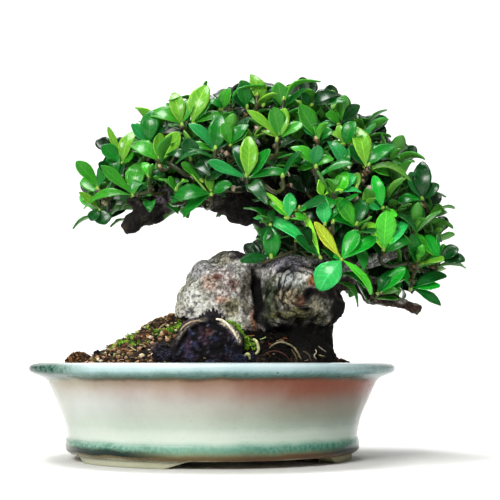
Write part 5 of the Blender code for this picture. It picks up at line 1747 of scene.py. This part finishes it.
def leaf_finish():
    finish, tree, shader = new_finish("glossy_leaf", 0.28)
    place = add_node(tree, "ShaderNodeTexCoord", {}).outputs["Object"]
    painted = add_node(tree, "ShaderNodeAttribute", {}, attribute_name="leaf_colour").outputs["Color"]
    spot = add_node(tree, "ShaderNodeAttribute", {}, attribute_name="blade_place").outputs["Vector"]
    apart = add_node(tree, "ShaderNodeSeparateXYZ", {"Vector": spot})
    across = figure(tree, "ABSOLUTE", apart.outputs["X"])
    along = apart.outputs["Y"]
    cloud = spread(tree, mottle(tree, place, 260.0), 0.3, 0.7, 0.0, 0.30)
    colour = mixed(tree, cloud, painted, tone(22, 96, 30))

    # Base, side veins, midrib and rim are lighter than the blade, and its underside is paler
    lighter = add_node(
        tree, "ShaderNodeVectorMath",
        {0: painted, 1: (3.2, 1.8, 2.6), 2: (0.012, 0.030, 0.006)}, operation="MULTIPLY_ADD",
    ).outputs["Vector"]
    base = spread(tree, along, 0.02, 0.14, 0.50, 0.0)
    slope = figure(tree, "SUBTRACT", product(tree, along, 44.0), product(tree, across, 9.0))
    vein = spread(tree, figure(tree, "SINE", slope), 0.80, 1.0, 0.0, 0.25)
    rib = spread(tree, across, 0.02, 0.07, 0.55, 0.0)
    rim = spread(tree, across, 0.84, 0.98, 0.0, 0.80)
    for part in (base, vein, rib, rim):
        colour = mixed(tree, part, colour, lighter)
    colour = mixed(tree, product(tree, apart.outputs["Z"], 0.45), colour, tone(96, 168, 60))
    tree.links.new(colour, shader.inputs["Base Color"])
    rough = spread(tree, mottle(tree, place, 500.0), 0.3, 0.7, 0.22, 0.38)
    tree.links.new(rough, shader.inputs["Roughness"])
    height = figure(tree, "SUBTRACT", product(tree, mottle(tree, place, 700.0, 2.0), 0.4), vein)
    dent = add_node(tree, "ShaderNodeBump", {"Strength": 0.35, "Distance": 0.0002, "Height": height})
    tree.links.new(dent.outputs["Normal"], shader.inputs["Normal"])
    shader.inputs["Specular IOR Level"].default_value = 0.24
    shader.inputs["Coat Weight"].default_value = 0.18
    shader.inputs["Coat Roughness"].default_value = 0.14
    return finish


def twig_body(stations):
    """A twig with an uneven skin."""
    bm = tube("twig", stations, 2, True)
    for vert in bm.verts:
        knot = noise.noise(vert.co / 0.0018)
        vert.co += Vector((knot, -knot, knot)) * 0.00012
    return bm


def bud(tip, axis):
    """The pointed bud in the middle of a rosette."""
    bm = bmesh.new()
    bmesh.ops.create_uvsphere(bm, u_segments=6, v_segments=5, radius=0.0011)
    bmesh.ops.scale(bm, verts=bm.verts, vec=(0.8, 0.8, 1.5))
    bmesh.ops.rotate(bm, verts=bm.verts, matrix=axis.to_track_quat("Z", "Y").to_matrix())
    bmesh.ops.translate(bm, verts=bm.verts, vec=tip + axis * 0.0008)
    return bm


KNOT_TONES = [(58, 42, 30), (92, 66, 46), (34, 25, 20), (182, 166, 128)]
KNOT_SHARES = (5, 4, 4, 1)


def twig_knots(tip, axis, rng):
    """Old leaf scars and spent flower stalks, as small lumps on the twig under a rosette."""
    for _ in range(3):
        bm = bmesh.new()
        bmesh.ops.create_icosphere(bm, subdivisions=2, radius=rng.uniform(0.0007, 0.0013))
        for vert in bm.verts:
            vert.co *= 1 + 0.35 * noise.noise(vert.co / 0.0007 + Vector((rng.random() * 0.1, 0, 0)))
        aside = Vector([rng.uniform(-1, 1) for _ in range(3)]).cross(axis).normalized() * 0.0008
        place = tip - axis * rng.uniform(0.0016, 0.0040) + aside
        bmesh.ops.translate(bm, verts=bm.verts, vec=place)
        yield bm, rng.choices(KNOT_TONES, KNOT_SHARES)[0]


# Dark hollows between the shoots in the front view: middle, half width and half height
HOLLOWS = [
    (290, 186, 34, 17), (270, 137, 18, 8), (181, 173, 14, 6), (223, 153, 11, 6), (382, 258, 13, 9),
    (368, 180, 9, 9), (188, 126, 8, 5), (238, 190, 30, 10), (150, 158, 7, 6), (160, 190, 14, 12),
    (330, 128, 8, 7), (296, 240, 10, 10), (350, 218, 6, 6), (356, 262, 12, 7), (120, 208, 14, 8),
    (322, 258, 8, 11),
]
# Places outside the crown's outline where no added leaf hangs
BARE_PLACES = [
    (354, 304, 18, 16), (158, 232, 20, 14), (395, 306, 26, 10), (222, 232, 30, 22), (86, 226, 12, 10),
]
# Pale cut ends of old twigs in the hollows
CUT_ENDS = [
    (257, 126), (264, 129), (279, 141), (284, 143), (221, 149), (226, 152), (288, 173), (316, 172),
    (364, 180), (371, 187), (334, 196), (291, 184), (189, 122), (193, 126), (193, 175), (233, 187),
    (147, 158), (362, 276),
]
STUB_TONE = (58, 44, 36)
CUT_TONES = [(214, 194, 180), (172, 146, 128), (122, 96, 84)]
# Where daylight is looked for in the front view, three places surely outside the crown, the lowest row where
# a gap is closed, and how far apart the closing shoots stand
GAP_STEP = 2
GAP_COLUMNS = range(60, 471, GAP_STEP)
GAP_ROWS = range(60, 330, GAP_STEP)
OPEN_PLACES = [(60, 60), (150, 300), (450, 300)]
LOWEST_GAP = 285
GAP_SHOOTS_APART = 7
# The depths between which the crown's face is looked for, from the front, and the depth where none is found
FACE_FROM = -0.050
FACE_STEP = 0.001
FACE_STEPS = 50
NO_FACE = -0.009


def front_depth(px, py):
    """How far forward the crown's face lies where it shows at px, py."""
    for step in range(FACE_STEPS):
        depth = FACE_FROM + FACE_STEP * step
        if out_share(seen_place(px, py, depth)) < 0.93:
            return depth
    return NO_FACE


def shoot_depth(base, leaves):
    """A shoot stands 2 mm behind the crown's face at its base, or 2 mm before it with a yellow leaf."""
    yellow = [end for end, _, shade in leaves if shade == "yellow"]
    return min(front_depth(*spot) for spot in [base, *yellow]) + 0.002 - 0.004 * len(yellow)


def within(at, ovals):
    """Whether a place in the front view lies in one of the ovals."""
    return any(math.hypot((at.x - px) / wide, (at.y - py) / high) < 1 for px, py, wide, high in ovals)


def thin_out(sprays, shown):
    """Takes away the leaves that would hang in front of the marked ones, in a hollow or in a bare place."""
    for spray in sprays:
        kept = []
        for number, leaf in enumerate(spray["leaves"]):
            middle = leaf[0] @ Vector((0.6 * leaf[1], 0, 0))
            at = Vector(front_place(middle))
            hides = middle.y < 0.002 and within(at, HOLLOWS)
            for base, end, depth, reach in shown:
                share = min(1.0, max(0.2, (at - base).dot(end - base) / (end - base).length_squared))
                hides = hides or (at - base.lerp(end, share)).length < reach and middle.y < depth + 0.003
            if not hides and not (number >= spray["own"] and within(at, BARE_PLACES)):
                kept.append(leaf)
        spray["leaves"] = kept


def add_marked_shoots(sprays, rng):
    """The shoots that stand out in the front view, each on a short twig from the nearest one."""
    shown = []
    for base, leaves in MARKED_SHOOTS:
        depth = shoot_depth(base, leaves) - 0.002
        for end, _, shade in leaves:
            yellow = shade == "yellow"
            shown.append((Vector(base), Vector(end), depth + 0.006 * yellow, 5.5 + 5.0 * yellow))
    thin_out(sprays, shown)
    for base, leaves in MARKED_SHOOTS:
        depth = shoot_depth(base, leaves)
        root = seen_place(*base, depth)
        _, spray, place = nearest_spray(sprays, root)
        tips = [
            seen_place(*end, depth - 0.0050 + 0.0011 * number) for number, (end, _, _) in enumerate(leaves)
        ]
        spray["twigs"].append([(*place, 0.0009), (*place.lerp(root, 0.5), 0.0008), (*root, 0.0007)])
        spray["rosettes"].append((root, (root - place).normalized()))
        for tip, (_, half_width, shade) in zip(tips, leaves):
            way = (tip - root).normalized()
            side = way.cross(Vector((0.15 * rng.uniform(-1, 1), -0.8, 0.6))).normalized()
            turned = Matrix((way, side, way.cross(side))).transposed()
            if turned[1][2] > 0:
                turned = Matrix((way, -side, way.cross(-side))).transposed()
            leaf_at = Matrix.Translation(root) @ turned.to_4x4()
            spray["leaves"].append((leaf_at, (tip - root).length * 1.03, 0.94 * half_width / 1000, shade))


def close_gaps(sprays, wood, rng):
    """More shoots inside the crown, painted near black as shade, wherever daylight would come through it
    towards the front.
    """
    every = bmesh.new()
    every.verts.layers.float_color.new("leaf_colour")
    for spray in sprays:
        for leaf_at, length, half_width, _ in spray["leaves"]:
            put(every, plain_blade(length, half_width, 0.0, leaf_at), "leaf_colour", (0, 0, 0, 1))
    leaves = BVHTree.FromBMesh(every)
    every.free()

    def closed(px, py):
        way = seen_place(px, py, 0) - EYE
        return leaves.ray_cast(EYE, way)[0] is not None or wood.tree.ray_cast(EYE, way)[0] is not None

    holes = {(px, py) for py in GAP_ROWS for px in GAP_COLUMNS if not closed(px, py)}
    outside = list(OPEN_PLACES)
    while outside:
        px, py = outside.pop()
        if (px, py) in holes:
            holes.remove((px, py))
            outside += [(px + GAP_STEP, py), (px - GAP_STEP, py), (px, py + GAP_STEP), (px, py - GAP_STEP)]
    added = []
    for px, py in sorted(holes):
        if py > LOWEST_GAP or any(math.hypot(px - x, py - y) < GAP_SHOOTS_APART for x, y in added):
            continue
        added.append((px, py))
        root = seen_place(px, py + 11, front_depth(px, py) + 0.024)
        _, spray, place = nearest_spray(sprays, root)
        spray["twigs"].append([(*place, 0.0008), (*place.lerp(root, 0.5), 0.0007), (*root, 0.0006)])
        for lean in (-0.7, 0.0, 0.7):
            way = Vector((lean + rng.uniform(-0.2, 0.2), 0.15, 1)).normalized()
            side = Vector((0, -1, 0.2)).cross(way).normalized()
            turned = Matrix((way, side, way.cross(side))).transposed().to_4x4()
            spray["leaves"].append((Matrix.Translation(root) @ turned, 0.0115, 0.0034, "shade"))


def cut_end(place, foot, rng):
    """The stub of an old twig, with a pale cut end."""
    near = place - (place - foot).normalized() * 0.0035
    stub = tube("stub", [(*near, 0.0005), (*place, 0.0006)], 1, True)
    knob = bmesh.new()
    bmesh.ops.create_icosphere(knob, subdivisions=2, radius=rng.uniform(0.0008, 0.0013))
    for vert in knob.verts:
        vert.co *= 1 + 0.9 * noise.noise(vert.co / 0.0008 + place * 90)
    bmesh.ops.translate(knob, verts=knob.verts, vec=place)
    return [(stub, STUB_TONE), (knob, rng.choice(CUT_TONES))]


def put_wood(whole, body, colour):
    """Adds a twig, a bud, a knot or a stub to a spray."""
    place = body.verts.layers.float_vector.new("blade_place")
    for vert in body.verts:
        vert[place] = PLAIN_PLACE
    put(whole, body, "leaf_colour", tone(*colour))


def spray_body(spray, rng):
    """One spray with its twigs, buds, knots, cut ends and leaves."""
    whole = bmesh.new()
    whole.verts.layers.float_color.new("leaf_colour")
    whole.verts.layers.float_vector.new("blade_place")
    for stations in spray["twigs"]:
        put_wood(whole, twig_body(stations), Vector((36, 29, 22)).lerp(Vector((74, 66, 40)), rng.random()))
    for tip, axis in spray["rosettes"]:
        put_wood(whole, bud(tip, axis), (150, 186, 74))
        for knot, brown in twig_knots(tip, axis, rng):
            put_wood(whole, knot, brown)
    for body, brown in spray["ends"]:
        put_wood(whole, body, brown)
    for leaf_at, length, half_width, age in spray["leaves"]:
        colour = leaf_tone(age, leaf_at.translation, rng)
        put(whole, fine_leaf(leaf_at, length, half_width, rng), "leaf_colour", colour)
    return whole


def add_sprays():
    bm = bmesh.new()
    bm.from_mesh(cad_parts["trunk"].data)
    bmesh.ops.remove_doubles(bm, verts=bm.verts, dist=1e-7)
    bmesh.ops.translate(bm, verts=bm.verts, vec=-POT_AXIS)
    wood = Barrier(bm)
    bm.free()
    sprays = grow_sprays(wood)
    for spray in sprays:
        spray["own"] = len(spray["leaves"])
        spray["ends"] = []
    rng = random.Random(SPRAY_SEED)
    fill_out(sprays, wood, rng)
    add_marked_shoots(sprays, rng)
    close_gaps(sprays, wood, rng)
    for px, py in CUT_ENDS:
        at = seen_place(px, py, front_depth(px, py) + 0.004)
        _, spray, place = nearest_spray(sprays, at)
        spray["ends"] += cut_end(at, place, rng)
    finish = leaf_finish()
    names = sorted(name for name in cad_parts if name.startswith("spray_"))
    for number, (spray, node) in enumerate(zip(sprays, names), 1):
        add_piece(f"leaves_{number:02d}", spray_body(spray, rng), finish, [node])


add_sprays()
